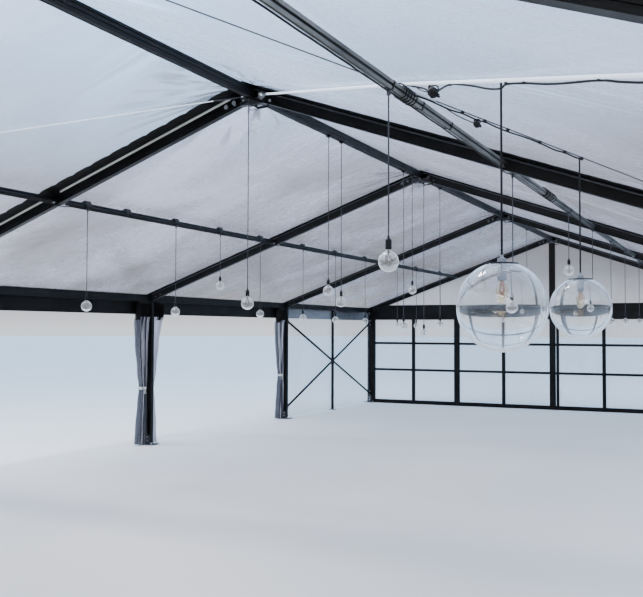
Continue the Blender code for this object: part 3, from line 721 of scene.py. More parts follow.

# %% [markdown]
# The film's edge is a welt that slides into the upper channel of the rafter. The welts are one
# cord, given lit and shaded copies of its finish: on one left slope it is pale, a painted light that
# shows as a bright line along the shaded side of its rafter, with a gap at the purlin, and elsewhere
# it is dark, a painted shade. A bolted bracket joins the two halves at the apex, and a hook, a pin
# and loose ends of cord hang under it. The bolts of one frame are bright zinc, the others dark steel.

# %% Rafter pairs
# The shaded welt and the lit one are the same cord, as painted shade and painted light.
# A welt's depth under the roof line, radius, distance from the frame's middle, runs and slot
SHADED_WELT = (0.030, 0.0075, 0.0355, [(RAFTER_END, 0.02)], WELT)
LIT_WELT = (0.016, 0.0115, 0.036, [(RAFTER_END, 2.62), (2.44, 0.25)], LIT_WELT_SLOT)
LIT_WELT_PLACE = (3, -1, -1)
# The frame whose bolts are bright zinc.
BRIGHT_BOLT_FRAME = 3
RAFTER_BOLTS = ((0.10, 0.10), (0.20, 0.10), (4.86, 0.035), (4.86, 0.10), (4.76, 0.10))
EYES, EYE_DROP = (-0.30, -0.21, 0.12), 0.075
BRACKET_REACH, BRACKET_DROP = 0.14, 0.05
APEX_PIN, PIN_PLACE = (0.011, 0.018), -0.06
HOOK = ((0.03, 0.010), (0.03, -0.022), (0.05, -0.036), (0.14, -0.032), (0.165, -0.018),
        (0.17, 0.004))
CORD_ENDS = (-0.05, -0.01, 0.035)
HOOK_RADIUS, CORD_RADIUS = 0.009, 0.0022


def lay_welts(rafter, number, side, face):
    """The welt of a film in one channel of a rafter."""
    lit_welt = (number, side, face) == LIT_WELT_PLACE
    sink, size, edge, runs, slot = LIT_WELT if lit_welt else SHADED_WELT
    along = FRAME_LINES[number - 1] + face * edge
    for run in runs:
        line = [(side * x, along, roof_top(x) - sink / math.cos(TILT)) for x in run]
        lay_in(rafter, tube_part(line, size, 8), slot=slot)


def lay_apex(rafter, shift):
    """The bracket at the apex, and the hook, pin and cord ends under it."""
    under = rafter_under(BRACKET_REACH)
    half = FRAME_WIDTH / 2
    block = box_part((-BRACKET_REACH, -half, under), (BRACKET_REACH, half, APEX - BRACKET_DROP),
                     PLATE_EASE)
    lay_in(rafter, block, shift, STEEL)
    lay_in(rafter, tube_part([(x, 0, under + rise) for x, rise in HOOK], HOOK_RADIUS, 8), shift, COAT)
    pin = facing((0, 0, -1), (1, 0, 0), (PIN_PLACE, 0, under))
    lay_in(rafter, bolt_part(*APEX_PIN), shift @ pin, BRIGHT)
    for offset in CORD_ENDS:
        tail = [(offset + 0.02 * math.sin(2.1 * k + 20 * offset), 0.012 * math.cos(1.7 * k),
                 under + 0.005 - 0.011 * k) for k in range(7)]
        lay_in(rafter, tube_part(tail, CORD_RADIUS, 5), shift, WELT)


def make_rafter(number):
    """A rafter pair with its apex bracket, bolts and film welts."""
    along = FRAME_LINES[number - 1]
    bolts = BRIGHT if number == BRIGHT_BOLT_FRAME else STEEL
    shift = Matrix.Translation((0, along, 0))
    rafter = bmesh.new()
    lay_in(rafter, rafter_bar(), shift, COAT)
    for face in (-1, 1):
        beside = along + face * FRAME_WIDTH / 2
        for side in (-1, 1):
            lay_welts(rafter, number, side, face)
            for x, drop in RAFTER_BOLTS:
                lay_bolt(rafter, BOLT, (0, face, 0), (side * x, beside, roof_top(x) - drop), bolts)
        for x in EYES:
            lay_bolt(rafter, EYE_BOLT, (0, face, 0), (x, beside, roof_top(x) - EYE_DROP), bolts)
    lay_apex(rafter, shift)
    return finished(f"rafter_pair_{number}_profile", rafter,
                    [black_coat, dark_steel, zinc, dark_welt, pale_welt],
                    [f"rafter_pair_{number}"])


rafters = [make_rafter(number) for number in range(1, FRAME_COUNT + 1)]
print(len(rafters), "rafter pairs, each with", len(rafters[0].data.polygons), "faces")

# %% [markdown]
# Purlins run from frame to frame, one length to a bay, and hook into shoes on the rafters. The
# ridge, eave and left ones are coated, the ridge and eave ones in a lighter grey that is a painted
# sheen. The right one shows its bare metal. The faces that look into a channel get a slot of their
# own, a darker finish that is painted shade inside the channels.

# %% Purlins
RIDGE_SIZE, SIDE_SIZE, EAVE_SIZE = (0.06, 0.10), (0.05, 0.05), (0.06, 0.12)
RIDGE_CHANNELS = mirrored([(-0.031, 0.014, -0.024, 0.026), (-0.031, -0.026, -0.024, -0.014)])
SIDE_CHANNELS = [(-0.008, -0.026, 0.008, -0.014),
                 *mirrored([(-0.026, -0.008, -0.016, 0.006), (-0.020, -0.026, -0.016, -0.022)])]
EAVE_CHANNELS = mirrored([(-0.031, 0.026, -0.025, 0.042), (-0.031, -0.030, -0.027, -0.022)])
PURLIN_GAP, SHOE_LENGTH = 0.002, 0.075


def middle_of(name):
    """Where a purlin's axis is, across the tent and in height."""
    low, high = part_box(name)
    return ((low.x + high.x) / 2, (low.z + high.z) / 2)


def purlin_bar(width, height, length, channels):
    """One length of purlin, with slot 1, a darker painted shade, on the faces inside its channels."""
    bar = profile(width, height, length, channels)
    for face in bar.faces:
        middle = face.calc_center_median()
        inside = abs(middle.x) < width / 2 - 0.002 and abs(middle.y) < height / 2 - 0.002
        # Faces inside a channel get the darker slot, a painted shade.
        face.material_index = 1 if inside and abs(face.normal.z) < 0.5 else 0
    return bar


def lay_shoe(piece, width, height, place):
    """The shoe that holds one end of a purlin, and the bolt under it."""
    shoe = profile(width + 0.008, height * 0.62, SHOE_LENGTH, ease=0.002)
    bmesh.ops.translate(shoe, vec=(0, -height * 0.22, 0), verts=shoe.verts)
    lay_in(piece, shoe, place, 1)
    head = bolt_part(*PIN_BOLT)
    bmesh.ops.rotate(head, matrix=Matrix.Rotation(math.pi / 2, 3, "X"), verts=head.verts)
    bmesh.ops.translate(head, vec=(0, -height * 0.53, 0.045), verts=head.verts)
    lay_in(piece, head, place, 2)


def make_purlin(name, size, channels, roll, skin):
    """A purlin in five lengths, with a shoe and a bolt at each frame."""
    x, z = middle_of(name)
    up = (math.sin(roll), 0, math.cos(roll))
    piece = bmesh.new()
    for near, far in zip(FRAME_LINES, FRAME_LINES[1:]):
        start, end = near + FRAME_WIDTH / 2, far - FRAME_WIDTH / 2
        bar = purlin_bar(*size, end - start - 2 * PURLIN_GAP, channels)
        lay_in(piece, bar, facing((0, 1, 0), up, (x, start + PURLIN_GAP, z)))
        for at, way in ((start, 1), (end, -1)):
            lay_shoe(piece, *size, facing((0, way, 0), up, (x, at, z)))
    return finished(f"{name}_profile", piece, [skin, black_coat, zinc], [name])


purlins = [make_purlin("ridge_purlin", RIDGE_SIZE, RIDGE_CHANNELS, 0.0, sheen_grey_coat)]
for side, skin in (("left", black_coat), ("right", aluminium)):
    lean = SIDES[side] * TILT
    purlins += [make_purlin(f"side_purlin_{side}", SIDE_SIZE, SIDE_CHANNELS, lean, skin),
                make_purlin(f"eave_purlin_{side}", EAVE_SIZE, EAVE_CHANNELS, 0.0, sheen_grey_coat)]
print(len(purlins), "purlins made in bay lengths")

# %% [markdown]
# Each bay of the roof is one film that runs from eave to eave over the ridge. It is stretched by
# the frames at its edges, so it is tight there and hangs a little in the middle of the bay. Long
# wrinkles leave the corners at the apex. A fine grid moved by a formula gives all of this and stays
# quick, where a cloth simulation would need minutes.

# %% Grids that become cloth
FILM_THICK, WALL_THICK, HEM_THICK, VALANCE_THICK = 0.0016, 0.0012, 0.0012, 0.0014
FILM_STEPS = (168, 76)
PURLIN_SPACING = 2.5


def grid_part(low, high, steps, place):
    """A grid over a rectangle, with each of its points put where place says."""
    part = bmesh.new()
    bmesh.ops.create_grid(part, x_segments=steps[0], y_segments=steps[1], size=0.5)
    for vert in part.verts:
        vert.co = place(low[0] + (vert.co.x + 0.5) * (high[0] - low[0]),
                        low[1] + (vert.co.y + 0.5) * (high[1] - low[1]))
    return part


def thickened(part, thick):
    """Gives a sheet its thickness."""
    bmesh.ops.recalc_face_normals(part, faces=part.faces)
    bmesh.ops.solidify(part, geom=part.faces[:], thickness=thick)
    return part


def film_height(x, y, start, end):
    """Height of the film's underside: the roof line less its sag and wrinkles."""
    along = min(max((y - start) / (end - start), 0.0), 1.0)
    span = math.sin(math.pi * along)
    panel = math.sin(math.pi * (abs(x) % PURLIN_SPACING) / PURLIN_SPACING)
    sag = 0.012 * span + 0.020 * span * panel
    ripple = noise.noise(Vector((x * 2.6 + y * 1.7, y * 0.5 - x * 0.6, start))) * 0.006 * span
    reach = math.hypot(x, min(y - start, end - y)) + 0.02
    fan = math.sin(9.0 * math.atan2(abs(x), min(y - start, end - y) + 0.02)) * 0.006
    fan *= math.exp(-reach / 0.7) * min(1.0, reach / 0.15) * min(1.0, span * 5)
    return roof_top(x) - 0.0035 - sag + ripple + fan


print("film grid of", FILM_STEPS, "steps")

# %% [markdown]
# A black hem is welded under both edges of a film. It is a strip of the same grid, a little lower,
# and its inner edge is dented at even steps as a welded hem is. Two bays have a wider one.

# %% Roof films and their hems
HEM_WIDTHS = {1: (0.06, 0.10), 2: (0.06, 0.20)}
USUAL_HEM = (0.05, 0.05)
HEM_STEPS = (FILM_STEPS[0] * 2, 4)
HEM_DROP, HEM_DENT, DENTS_PER_METRE = 0.0028, 0.10, 2 * math.pi / 0.24


def make_roof_sheet(number):
    """One bay of film, with the black hems that are welded under its two edges."""
    low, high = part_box(f"roof_sheet_{number}")
    start, end = low.y, high.y
    film = bmesh.new()
    sheet = grid_part((low.x, start), (high.x, end), FILM_STEPS,
                      lambda x, y: (x, y, film_height(x, y, start, end)))
    lay_in(film, thickened(sheet, FILM_THICK), slot=0)
    made = finished(f"roof_film_{number}", film, [roof_film],
                    [f"roof_sheet_{number}"], 60)
    hems = bmesh.new()
    for edge, width, way in zip((start, end), HEM_WIDTHS.get(number, USUAL_HEM), (1, -1)):
        near, far = sorted((edge, edge + way * width))
        strip = grid_part((low.x, near), (high.x, far), HEM_STEPS,
                          lambda x, y: (x, y, film_height(x, y, start, end) - HEM_DROP))
        for vert in strip.verts:
            inward = abs(vert.co.y - edge) / width
            dent = max(0.0, math.sin(vert.co.x * DENTS_PER_METRE)) ** 3
            vert.co.y -= way * inward * width * HEM_DENT * dent
        lay_in(hems, thickened(strip, HEM_THICK), slot=0)
    hem = finished(f"roof_hem_{number}", hems, [black_vinyl], smooth=60)
    return made


roof_films = [make_roof_sheet(number) for number in range(1, FRAME_COUNT)]
print(len(roof_films), "roof films of", len(roof_films[0].data.polygons), "faces")

# %% [markdown]
# The valance is a strip of black vinyl that hangs along each eave. It is welded to the films above,
# so it is straight at the top, and its free lower edge waves a little between the frames. A rolled
# hem closes it.

# %% Valances
VALANCE_STEPS, HEM_POINTS = (500, 8), 250
HEM_ROLL, HEM_RISE = 0.0045, 0.005


def make_valance(side):
    """A black strip along one eave, with a slow wave that grows towards its lower edge."""
    low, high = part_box(f"valance_{side}")
    middle = (low.x + high.x) / 2

    def hang(y, fall):
        bay = abs(math.sin(math.pi * (y - FRAME_LINES[0]) / BAY_LENGTH))
        wave = noise.noise(Vector((y * 1.9, 0.0, SIDES[side] * 3.0))) * 0.016 * bay ** 0.5 * fall
        return (middle + SIDES[side] * wave, y, high.z - fall * (high.z - low.z))

    cloth = bmesh.new()
    strip = grid_part((low.y, 1.0), (high.y, 0.0), VALANCE_STEPS, hang)
    lay_in(cloth, thickened(strip, VALANCE_THICK), slot=0)
    made = finished(f"valance_{side}_cloth", cloth, [black_vinyl],
                    [f"valance_{side}"], 60)
    hem = bmesh.new()
    roll = [(middle, low.y + (high.y - low.y) * k / HEM_POINTS, low.z + HEM_RISE)
            for k in range(HEM_POINTS + 1)]
    lay_in(hem, tube_part(roll, HEM_ROLL, 6), slot=0)
    hem_made = finished(f"valance_{side}_hem", hem, [black_vinyl], smooth=60)
    return made


valances = [make_valance(side) for side in SIDES]
print("valances:", [valance.name for valance in valances])

# %% [markdown]
# The end bays and both gables are closed with the same clear film. A wall hangs from the eave
# between two legs, and has a shallow ripple. A gable film is cut to the shape of the gable, so its
# grid is sawn along the two slopes before it is given its ripple.

# %% Clear walls and gables
WALL_STEPS, GABLE_STEPS = (90, 46), (150, 64)
WALL_RIPPLE, GABLE_RIPPLE = 0.006, 0.005
GABLE_GAP = 0.0005


def rippled(part, axis, depth, seed):
    """Pushes a flat film gently out of its plane."""
    for vert in part.verts:
        vert.co[axis] += depth * noise.noise(vert.co * 1.1 + Vector((seed, seed, seed)))
    return part


def make_wall(side, end, seed):
    """The clear wall of one end bay."""
    name = f"wall_sheet_{side}_{end}"
    low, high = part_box(name)
    middle = (low.x + high.x) / 2
    part = grid_part((low.y, low.z), (high.y, high.z), WALL_STEPS, lambda y, z: (middle, y, z))
    film = bmesh.new()
    lay_in(film, thickened(rippled(part, 0, WALL_RIPPLE, seed), WALL_THICK), slot=0)
    made = finished(f"wall_film_{side}_{end}", film, [wall_film], [name], 60)
    return made


def make_gable_film(end, seed):
    """The clear film of one gable, cut to its two slopes."""
    name = f"gable_sheet_{end}"
    low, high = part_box(name)
    middle = (low.y + high.y) / 2
    part = grid_part((low.x, low.z), (high.x, high.z), GABLE_STEPS, lambda x, z: (x, middle, z))
    drop = (RAFTER_DEPTH + GABLE_GAP) / math.cos(TILT)
    for sign in (-1, 1):
        trim(part, (0, 0, APEX - drop), (sign * SLOPE, 0, 1), closed=False)
    area = sum(face.calc_area() for face in part.faces)
    film = bmesh.new()
    lay_in(film, thickened(rippled(part, 1, GABLE_RIPPLE, seed), WALL_THICK), slot=0)
    made = finished(f"gable_film_{end}", film, [wall_film], [name], 60)
    return made


corners = [(side, end) for side in SIDES for end in ENDS]
walls = [make_wall(side, end, seed) for seed, (side, end) in enumerate(corners)]
gables = [make_gable_film(end, seed) for seed, end in enumerate(ENDS)]
print(len(walls), "clear walls and", len(gables), "gable films")

# %% [markdown]
# The window frames of the gables have the right shape in the solids already, so they stay as they
# are and only get their coat. The crossed tubes of the end bays are made again as true round tubes,
# each with a flattened end bolted to its lug, and a clamp where they cross.

# %% Gable coats and crossed tubes
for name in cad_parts:
    if name.startswith("gable_frame"):
        node = bpy.data.objects[name]
        node.data.materials.clear()
        node.data.materials.append(black_coat)
tube_coat = coated_metal("tube_coat", tint(0.004, 0.004, 0.005), tint(0.010, 0.010, 0.011), 0.16)
TUBE_RADIUS, FLAT_RADIUS, POST_RADIUS, SLEEVE = 0.025, 0.016, 0.035, 0.006
TUBE_ENDS, TUBE_INSET, FLAT_LENGTH = (0.25, 2.20), 0.02, 0.05
SLEEVE_ENDS = (1.17, 1.28)
PLATE, PLATE_REACH, PLATE_BOLT = 0.008, 0.08, 0.06
HOLD_HALF, HOLD_RISE, HOLD_BOLT = 0.035, 0.07, 0.052
EAR_REACH, EAR_HALF, EAR_RISE, EAR_BOLT = 0.10, 0.006, 0.03, 0.055


def lay_tube_lug(brace, x, y, step, height):
    """The plate and ear that hold one end of a crossed tube to a leg, and their bolts."""
    face = y + step * PLATE
    lay_in(brace, box_part((x - HOLD_HALF, y, height - HOLD_RISE),
                           (x + HOLD_HALF, face, height + HOLD_RISE)), slot=0)
    ear = box_part((x - EAR_HALF, face, height - EAR_RISE),
                   (x + EAR_HALF, y + step * EAR_REACH, height + EAR_RISE))
    lay_in(brace, ear, slot=0)
    for rise in (-HOLD_BOLT, HOLD_BOLT):
        lay_bolt(brace, SMALL_BOLT, (0, step, 0), (x, face, height + rise), 1)
    for side in (-1, 1):
        at = (x + side * EAR_HALF, y + step * EAR_BOLT, height)
        lay_bolt(brace, PIN_BOLT, (side, 0, 0), at, 1)


def make_wall_brace(side, end):
    """The mid post, the crossed tubes and their lugs in one end bay."""
    name = f"wall_brace_{side}_{end}"
    low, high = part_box(name)
    x, middle = (low.x + high.x) / 2, (low.y + high.y) / 2
    brace = bmesh.new()
    lay_in(brace, tube_part([(x, middle, 0.004), (x, middle, high.z)], POST_RADIUS, 20), slot=0)
    lay_in(brace, box_part((x - PLATE_REACH, middle - PLATE_REACH, 0.0),
                           (x + PLATE_REACH, middle + PLATE_REACH, PLATE)), slot=0)
    sleeve = [(x, middle, z) for z in SLEEVE_ENDS]
    lay_in(brace, tube_part(sleeve, POST_RADIUS + SLEEVE, 20), slot=0)
    for out in (-PLATE_BOLT, PLATE_BOLT):
        for away in (-PLATE_BOLT, PLATE_BOLT):
            at = Matrix.Translation((x + out, middle + away, PLATE))
            lay_in(brace, bolt_part(*SMALL_BOLT), at, 1)
    for bottom, top in (TUBE_ENDS, TUBE_ENDS[::-1]):
        start = Vector((x, low.y + TUBE_INSET, bottom))
        finish = Vector((x, high.y - TUBE_INSET, top))
        flat = (finish - start).normalized() * FLAT_LENGTH
        lay_in(brace, tube_part([start, start + flat, finish - flat, finish],
                                [FLAT_RADIUS, TUBE_RADIUS, TUBE_RADIUS, FLAT_RADIUS], 18), slot=0)
    for y, step in ((low.y, 1), (high.y, -1)):
        for height in TUBE_ENDS:
            lay_tube_lug(brace, x, y, step, height)
    return finished(f"{name}_tubes", brace, [tube_coat, zinc], [name], 45)


braces = [make_wall_brace(side, end) for side, end in corners]
print(len(braces), "crossed wall braces of", len(braces[0].data.polygons), "faces")

# %% [markdown]
# A curtain is almost two metres of clear vinyl drawn together beside a leg. It isn't a tapered
# block: the same width of cloth is folded up at every height, so the folds are narrow and tight at
# the tie, and spread at the header and at the foot. Each row of the grid is a wave as long as the
# cloth is wide.

# %% The shape of a gathered curtain
# Height over the ground, width along the tent, depth across it and shift outwards
CURTAIN_SHAPE = [(0.02, 0.22, 0.14, 0.070), (0.30, 0.20, 0.135, 0.070), (0.70, 0.16, 0.125, 0.065),
                 (0.98, 0.13, 0.10, 0.065), (1.30, 0.18, 0.12, 0.065), (1.752, 0.25, 0.125, 0.060),
                 (2.122, 0.32, 0.12, 0.035), (2.242, 0.34, 0.11, 0.0), (2.483, 0.34, 0.11, 0.0)]
FOLDS, STEPS_PER_FOLD, CURTAIN_ROWS = 9, 11, 46
CURTAIN_WIDTH, CURTAIN_THICK = 1.9, 0.0012
LEG_GAP, HEADER_HEIGHT = 0.004, 2.19
# Painted light: the rear bundles, lit from behind, are paler all over than the front ones.
PAINTED_SIDE_LIGHT = {-1: 0.03, 1: 0.85}


def eased(share):
    """A share from 0 to 1 that starts and ends gently."""
    return share * share * (3 - 2 * share)


def bunch_at(height):
    """Width along the tent, depth across it and shift outwards, at a height over the ground."""
    for (low, *narrow), (high, *wide) in zip(CURTAIN_SHAPE, CURTAIN_SHAPE[1:]):
        if height <= high:
            share = eased(max(0.0, (height - low) / (high - low)))
            return [a + (b - a) * share for a, b in zip(narrow, wide)]
    return CURTAIN_SHAPE[-1][1:]


def gathered_cloth(side, way, start, middle, low, high, seed):
    """The folded cloth of one curtain, with painted light marked on the crests of its folds."""
    cloth = bmesh.new()
    bmesh.ops.create_grid(cloth, x_segments=FOLDS * STEPS_PER_FOLD, y_segments=CURTAIN_ROWS,
                          size=0.5)
    crest_and_light_of = cloth.verts.layers.float.new("crest_and_light")
    for vert in cloth.verts:
        across, rise = vert.co.x + 0.5, vert.co.y + 0.5
        height = low + rise * (high - low)
        width, depth, out = bunch_at(height)
        loose = min(1.0, (1 - rise) * 6)
        drift = noise.noise(Vector((across * 2.0, height * 1.1, seed))) * 2.4 * loose
        turn = across * FOLDS * 2 * math.pi + drift
        deep = 0.86 + 0.14 * math.sin(across * 17.0 + seed * 2.1)
        shift = 0.03 * math.sin(2 * turn) / FOLDS
        vert.co = (middle + SIDES[side] * out + (depth / 2 - 0.002) * deep * math.sin(turn),
                   start + way * width * (0.02 + across * 0.96 + shift), height)
        # The crests are painted lit, unevenly in groups, and each side's painted light is added.
        group = noise.noise(Vector((across * 4.0, height * 0.8, seed + 7.0)))
        lit = abs(math.sin(turn)) ** 3 * min(1.0, max(0.0, 0.45 + 2.2 * group))
        vert[crest_and_light_of] = lit + PAINTED_SIDE_LIGHT[way]
    for face in cloth.faces:
        centre = face.calc_center_median()
        header = HEADER_HEIGHT + 0.03 * noise.noise(centre * 30.0)
        face.material_index = 1 if centre.z > header else 0
    return cloth


print("curtain of", CURTAIN_WIDTH, "metres in", FOLDS, "folds")

# %% [markdown]
# A strap ties the bundle to the leg. It is a band round the folds, wrapped to their width and depth
# at its height, with a knot and two loose ends on the side that faces into the tent.

# %% Curtains and their ties
TIE_HEIGHT, TIE_BAND, TIE_SAG, TIE_THICK, TIE_EASE = 0.98, 0.045, 0.022, 0.0015, 0.003
KNOT = [(0.0, -0.020), (0.014, -0.015), (0.021, 0.0), (0.014, 0.015), (0.0, 0.020)]


def make_tie(name, side, way, start, middle):
    """The strap round a bundle, with its knot and ends."""
    width, depth, out = bunch_at(TIE_HEIGHT)
    band = bmesh.new()
    oval = Matrix.Diagonal((depth / 2 + TIE_EASE, width / 2 + TIE_EASE, 1.0, 1.0))
    bmesh.ops.create_circle(band, segments=28, radius=1.0, matrix=oval)
    raised = bmesh.ops.extrude_edge_only(band, edges=band.edges[:])["geom"]
    bmesh.ops.translate(band, vec=(0, 0, TIE_BAND), verts=only(bmesh.types.BMVert, raised))
    centre = Vector((middle + SIDES[side] * out, start + way * width / 2, TIE_HEIGHT - TIE_SAG))
    tie = bmesh.new()
    lay_in(tie, thickened(band, TIE_THICK), Matrix.Translation(centre), 0)
    front = centre - Vector((SIDES[side] * (depth / 2 + 0.006), 0, -0.02))
    lay_in(tie, turned_part(KNOT, 10), Matrix.Translation(front), 0)
    for lean in (-0.03, 0.025):
        tail = [front + Vector((0, lean * t, -0.09 * t - 0.01)) for t in (0.0, 0.5, 1.0)]
        lay_in(tie, tube_part(tail, 0.005, 6), slot=0)
    return finished(name, tie, [pale_welt], smooth=50)


def make_bundle(side, number, way, low, high, seed):
    """One curtain drawn together on one side of a leg."""
    start = FRAME_LINES[number - 1] + way * (FRAME_WIDTH / 2 + LEG_GAP)
    middle = SIDES[side] * LEG_LINE
    place = f"{side}_{number}_{'front' if way < 0 else 'rear'}"
    cloth = gathered_cloth(side, way, start, middle, low.z, high.z, seed)
    area = sum(face.calc_area() for face in cloth.faces)
    made = finished(f"curtain_{place}", cloth, [curtain_film, black_vinyl],
                    [f"curtain_{side}_{number}"], 60)
    skin = made.modifiers.new("thickness", "SOLIDIFY")
    skin.thickness, skin.offset = CURTAIN_THICK, 0.0
    tie = make_tie(f"curtain_tie_{place}", side, way, start, middle)
    length = high.z - low.z
    return area / length


OPEN_BAYS = [(number, way) for number in range(2, 6) for way in (-1, 1)][1:-1]
spreads = [make_bundle(side, number, way, *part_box(f"curtain_{side}_{number}"),
                       number + 10 * way + 3 * SIDES[side])
           for side in SIDES for number, way in OPEN_BAYS]
print(len(spreads), "curtains, spread widths", [round(spread, 3) for spread in spreads[:4]])

# %% [markdown]
# Two pairs of crossed lines brace the roof of the second bay. One line of each pair is thin and
# grey and the other white; on the right the white one is a thick rope. It stays bright in the shade
# of the roof, so a faint glow stands in for light in its fibres.

# %% Rope and line finishes
rope = Finish("white_rope", Roughness=0.75, Emission_Color=tint(0.72, 0.84, 1.0),
              Emission_Strength=0.75)
twist = rope.node("ShaderNodeTexWave", {"bands_direction": "DIAGONAL"},
                  {"Vector": rope.place, "Scale": 60.0, "Distortion": 1.0})
rope.set(Base_Color=rope.blend(twist, tint(0.78, 0.80, 0.84), tint(0.93, 0.95, 0.98)),
         Normal=rope.bump(twist, 0.002, 0.8))
white_rope = rope.material
grey_line = coated_metal("grey_line", tint(0.06, 0.06, 0.065), tint(0.10, 0.10, 0.11), 0.4)
print("line finishes:", white_rope.name, grey_line.name)

# %% [markdown]
# Each line runs from a lug beside an apex, over the side purlin, to a lug near the foot of the next
# rafter, with a tensioner at both ends. Over the purlin the white line passes just over the grey.

# %% Roof bracing
LINE_RADIUS, ROPE_RADIUS, THIN_RADIUS = 0.006, 0.010, 0.0044
LINE_TOP, LINE_FOOT, SIDE_DISTANCE = 0.10, 4.85, 2.5
BRACING_LUG, FIT = 0.008, 0.0003
LINE_LUG, LINE_BOLT = (0.03, 0.0275), (-0.015, 0.012)
# Distance from the end of a line, or share of the way to its foot, and radius there
TENSIONER = [(0.02, 0.0075), (0.06, 0.0075), (0.09, 0.011), (0.24, 0.011), (0.27, 0.0075),
             (0.31, 0.0068)]
TURNBUCKLE = [(0.022, 0.0065), (0.03, 0.009), (0.055, 0.009), (0.062, 0.0065)]


def line_path(side, top_frame, foot_frame):
    """A line's three points: beside an apex, over the side purlin, and near a rafter's foot."""
    way = 1 if foot_frame > top_frame else -1
    inset = FRAME_WIDTH / 2 + FIT + BRACING_LUG - 0.0015
    rise = 0.060 if way > 0 else 0.072
    ends = ((LINE_TOP, top_frame, way), (LINE_FOOT, foot_frame, -way))
    top, foot = (Vector((SIDES[side] * x, FRAME_LINES[number - 1] + step * inset,
                         rafter_under(x) + rise)) for x, number, step in ends)
    over = top.lerp(foot, (SIDE_DISTANCE - LINE_TOP) / (LINE_FOOT - LINE_TOP))
    purlin_top = (SIDE_SIZE[1] / 2 + LINE_RADIUS + 2 * FIT) / math.cos(TILT)
    over.z = middle_of(f"side_purlin_{side}")[1] + purlin_top
    over.z += 0.0 if way > 0 else LINE_RADIUS + ROPE_RADIUS
    return top, over, foot


def between(start, end, steps):
    """Points spread evenly from start to end."""
    return [start.lerp(end, k / steps) for k in range(steps + 1)]


def lay_line_end(piece, end, toward, number, step):
    """The tensioner at one end of a line, and its lug on the rafter."""
    away = (toward - end).normalized()
    body = [end + away * distance for distance, _ in TENSIONER]
    lay_in(piece, tube_part(body, [radius for _, radius in TENSIONER], 10), slot=2)
    face = FRAME_LINES[number - 1] + step * (FRAME_WIDTH / 2 + FIT)
    outer = face + step * BRACING_LUG
    half, rise = LINE_LUG
    lug = box_part((end.x - half, face, end.z - rise), (end.x + half, outer, end.z + rise))
    lay_in(piece, lug, slot=2)
    at = (end.x + LINE_BOLT[0], outer, end.z + LINE_BOLT[1])
    lay_bolt(piece, PIN_BOLT, (0, step, 0), at, 2)


def make_braces(side, fittings):
    """The crossed lines of one slope with their lugs and tensioners."""
    piece = bmesh.new()
    for slot, (top_frame, foot_frame) in enumerate(((2, 3), (3, 2))):
        top, over, foot = line_path(side, top_frame, foot_frame)
        before, after = over.lerp(top, 0.02), over.lerp(foot, 0.02)
        route = [*between(top, before, 16), over, *between(after, foot, 16)]
        thick = ROPE_RADIUS if side == "right" and slot == 1 else THIN_RADIUS
        lay_in(piece, tube_part(route, thick, 8), slot=slot)
        step = 1 if foot_frame > top_frame else -1
        lay_line_end(piece, top, over, top_frame, step)
        lay_line_end(piece, foot, over, foot_frame, -step)
        if slot == 0:
            rod = [over.lerp(foot, share) for share, _ in TURNBUCKLE]
            lay_in(piece, tube_part(rod, [radius for _, radius in TURNBUCKLE], 8), slot=2)
    return finished(f"roof_brace_{side}_lines", piece, [grey_line, white_rope, fittings],
                    [f"roof_brace_{side}"], 40)


bracing = [make_braces("left", dark_steel), make_braces("right", zinc)]
print(len(bracing), "pairs of crossed roof lines made")

# %% [markdown]
# The lamps are clear round bulbs. A bulb is a hollow glass shell, because a solid ball would act as
# a lens. Real glass also whitens where it is seen at a slant, and in a pale studio that edge would
# be lost, so a white shader is mixed in by the viewing slant as a painted reflection, with a little
# of it on the face as well. The small bulbs glow a little too.

# %% Glass
def glass(name, colour, smear, painted_reflection, reflection_and_glow_tint=tint(0.93, 0.94, 0.96), lit=0.0):
    """Clear glass with faint smears; painted_reflection is how much of a white shader, a painted
    reflection, its face and its steep edges have.
    """
    pane = Finish(name, IOR=1.45, Transmission_Weight=1.0, Base_Color=colour)
    pane.set(Roughness=pane.span(pane.cloud(EVEN, 14.0, 4.0), 0.45, 0.8, 0.01, smear))
    steep = pane.node("ShaderNodeLayerWeight", None, {"Blend": 0.5}, output=1)
    # The white shader is a painted reflection: strong on steep edges, faint on the face.
    white = pane.node("ShaderNodeBsdfPrincipled", None,
                      {"Base Color": reflection_and_glow_tint, "Roughness": 0.08,
                       "Emission Color": reflection_and_glow_tint, "Emission Strength": lit})
    clear = Value(pane, pane.shader.outputs[0])
    mixed = pane.node("ShaderNodeMixShader", None,
                      {0: pane.span(steep, 0.60, 0.98, *painted_reflection), 1: clear, 2: white})
    pane.feed(pane.tree.nodes["Material Output"].inputs["Surface"], mixed)
    return pane.material


globe_glass = glass("globe_glass", tint(0.98, 0.985, 0.99), 0.05, (0.004, 0.85))
bulb_glass = glass("bulb_glass", tint(0.97, 0.98, 0.99), 0.08, (0.045, 0.92),
                   tint(1.0, 0.93, 0.83), 0.35)
amber_glass = glass("amber_glass", tint(0.97, 0.87, 0.68), 0.10, (0.02, 0.80))
print("glass:", globe_glass.name, bulb_glass.name, amber_glass.name)

# %% [markdown]
# Cables are rubber, the drops are grey and thinner, and the globes' sockets have a frosted grey
# skin. Filaments are too thin to shade, so a colour that turns from bright to dull is enough.

# %% Rubber, sockets and filaments
frosted = Finish("frosted_socket", Roughness=0.5, IOR=1.5)
frost = frosted.cloud(EVEN, 40.0, 3.0)
frosted.set(Base_Color=frosted.blend(frost, tint(0.16, 0.16, 0.17), tint(0.26, 0.26, 0.28)),
            Normal=frosted.bump(frost, 0.001, 0.4))
frosted_socket = frosted.material
rubber = coated_metal("rubber", tint(0.005, 0.005, 0.0055), tint(0.015, 0.015, 0.016), 0.5)
drop_grey = coated_metal("drop_grey", tint(0.035, 0.036, 0.04), tint(0.07, 0.07, 0.075), 0.5)


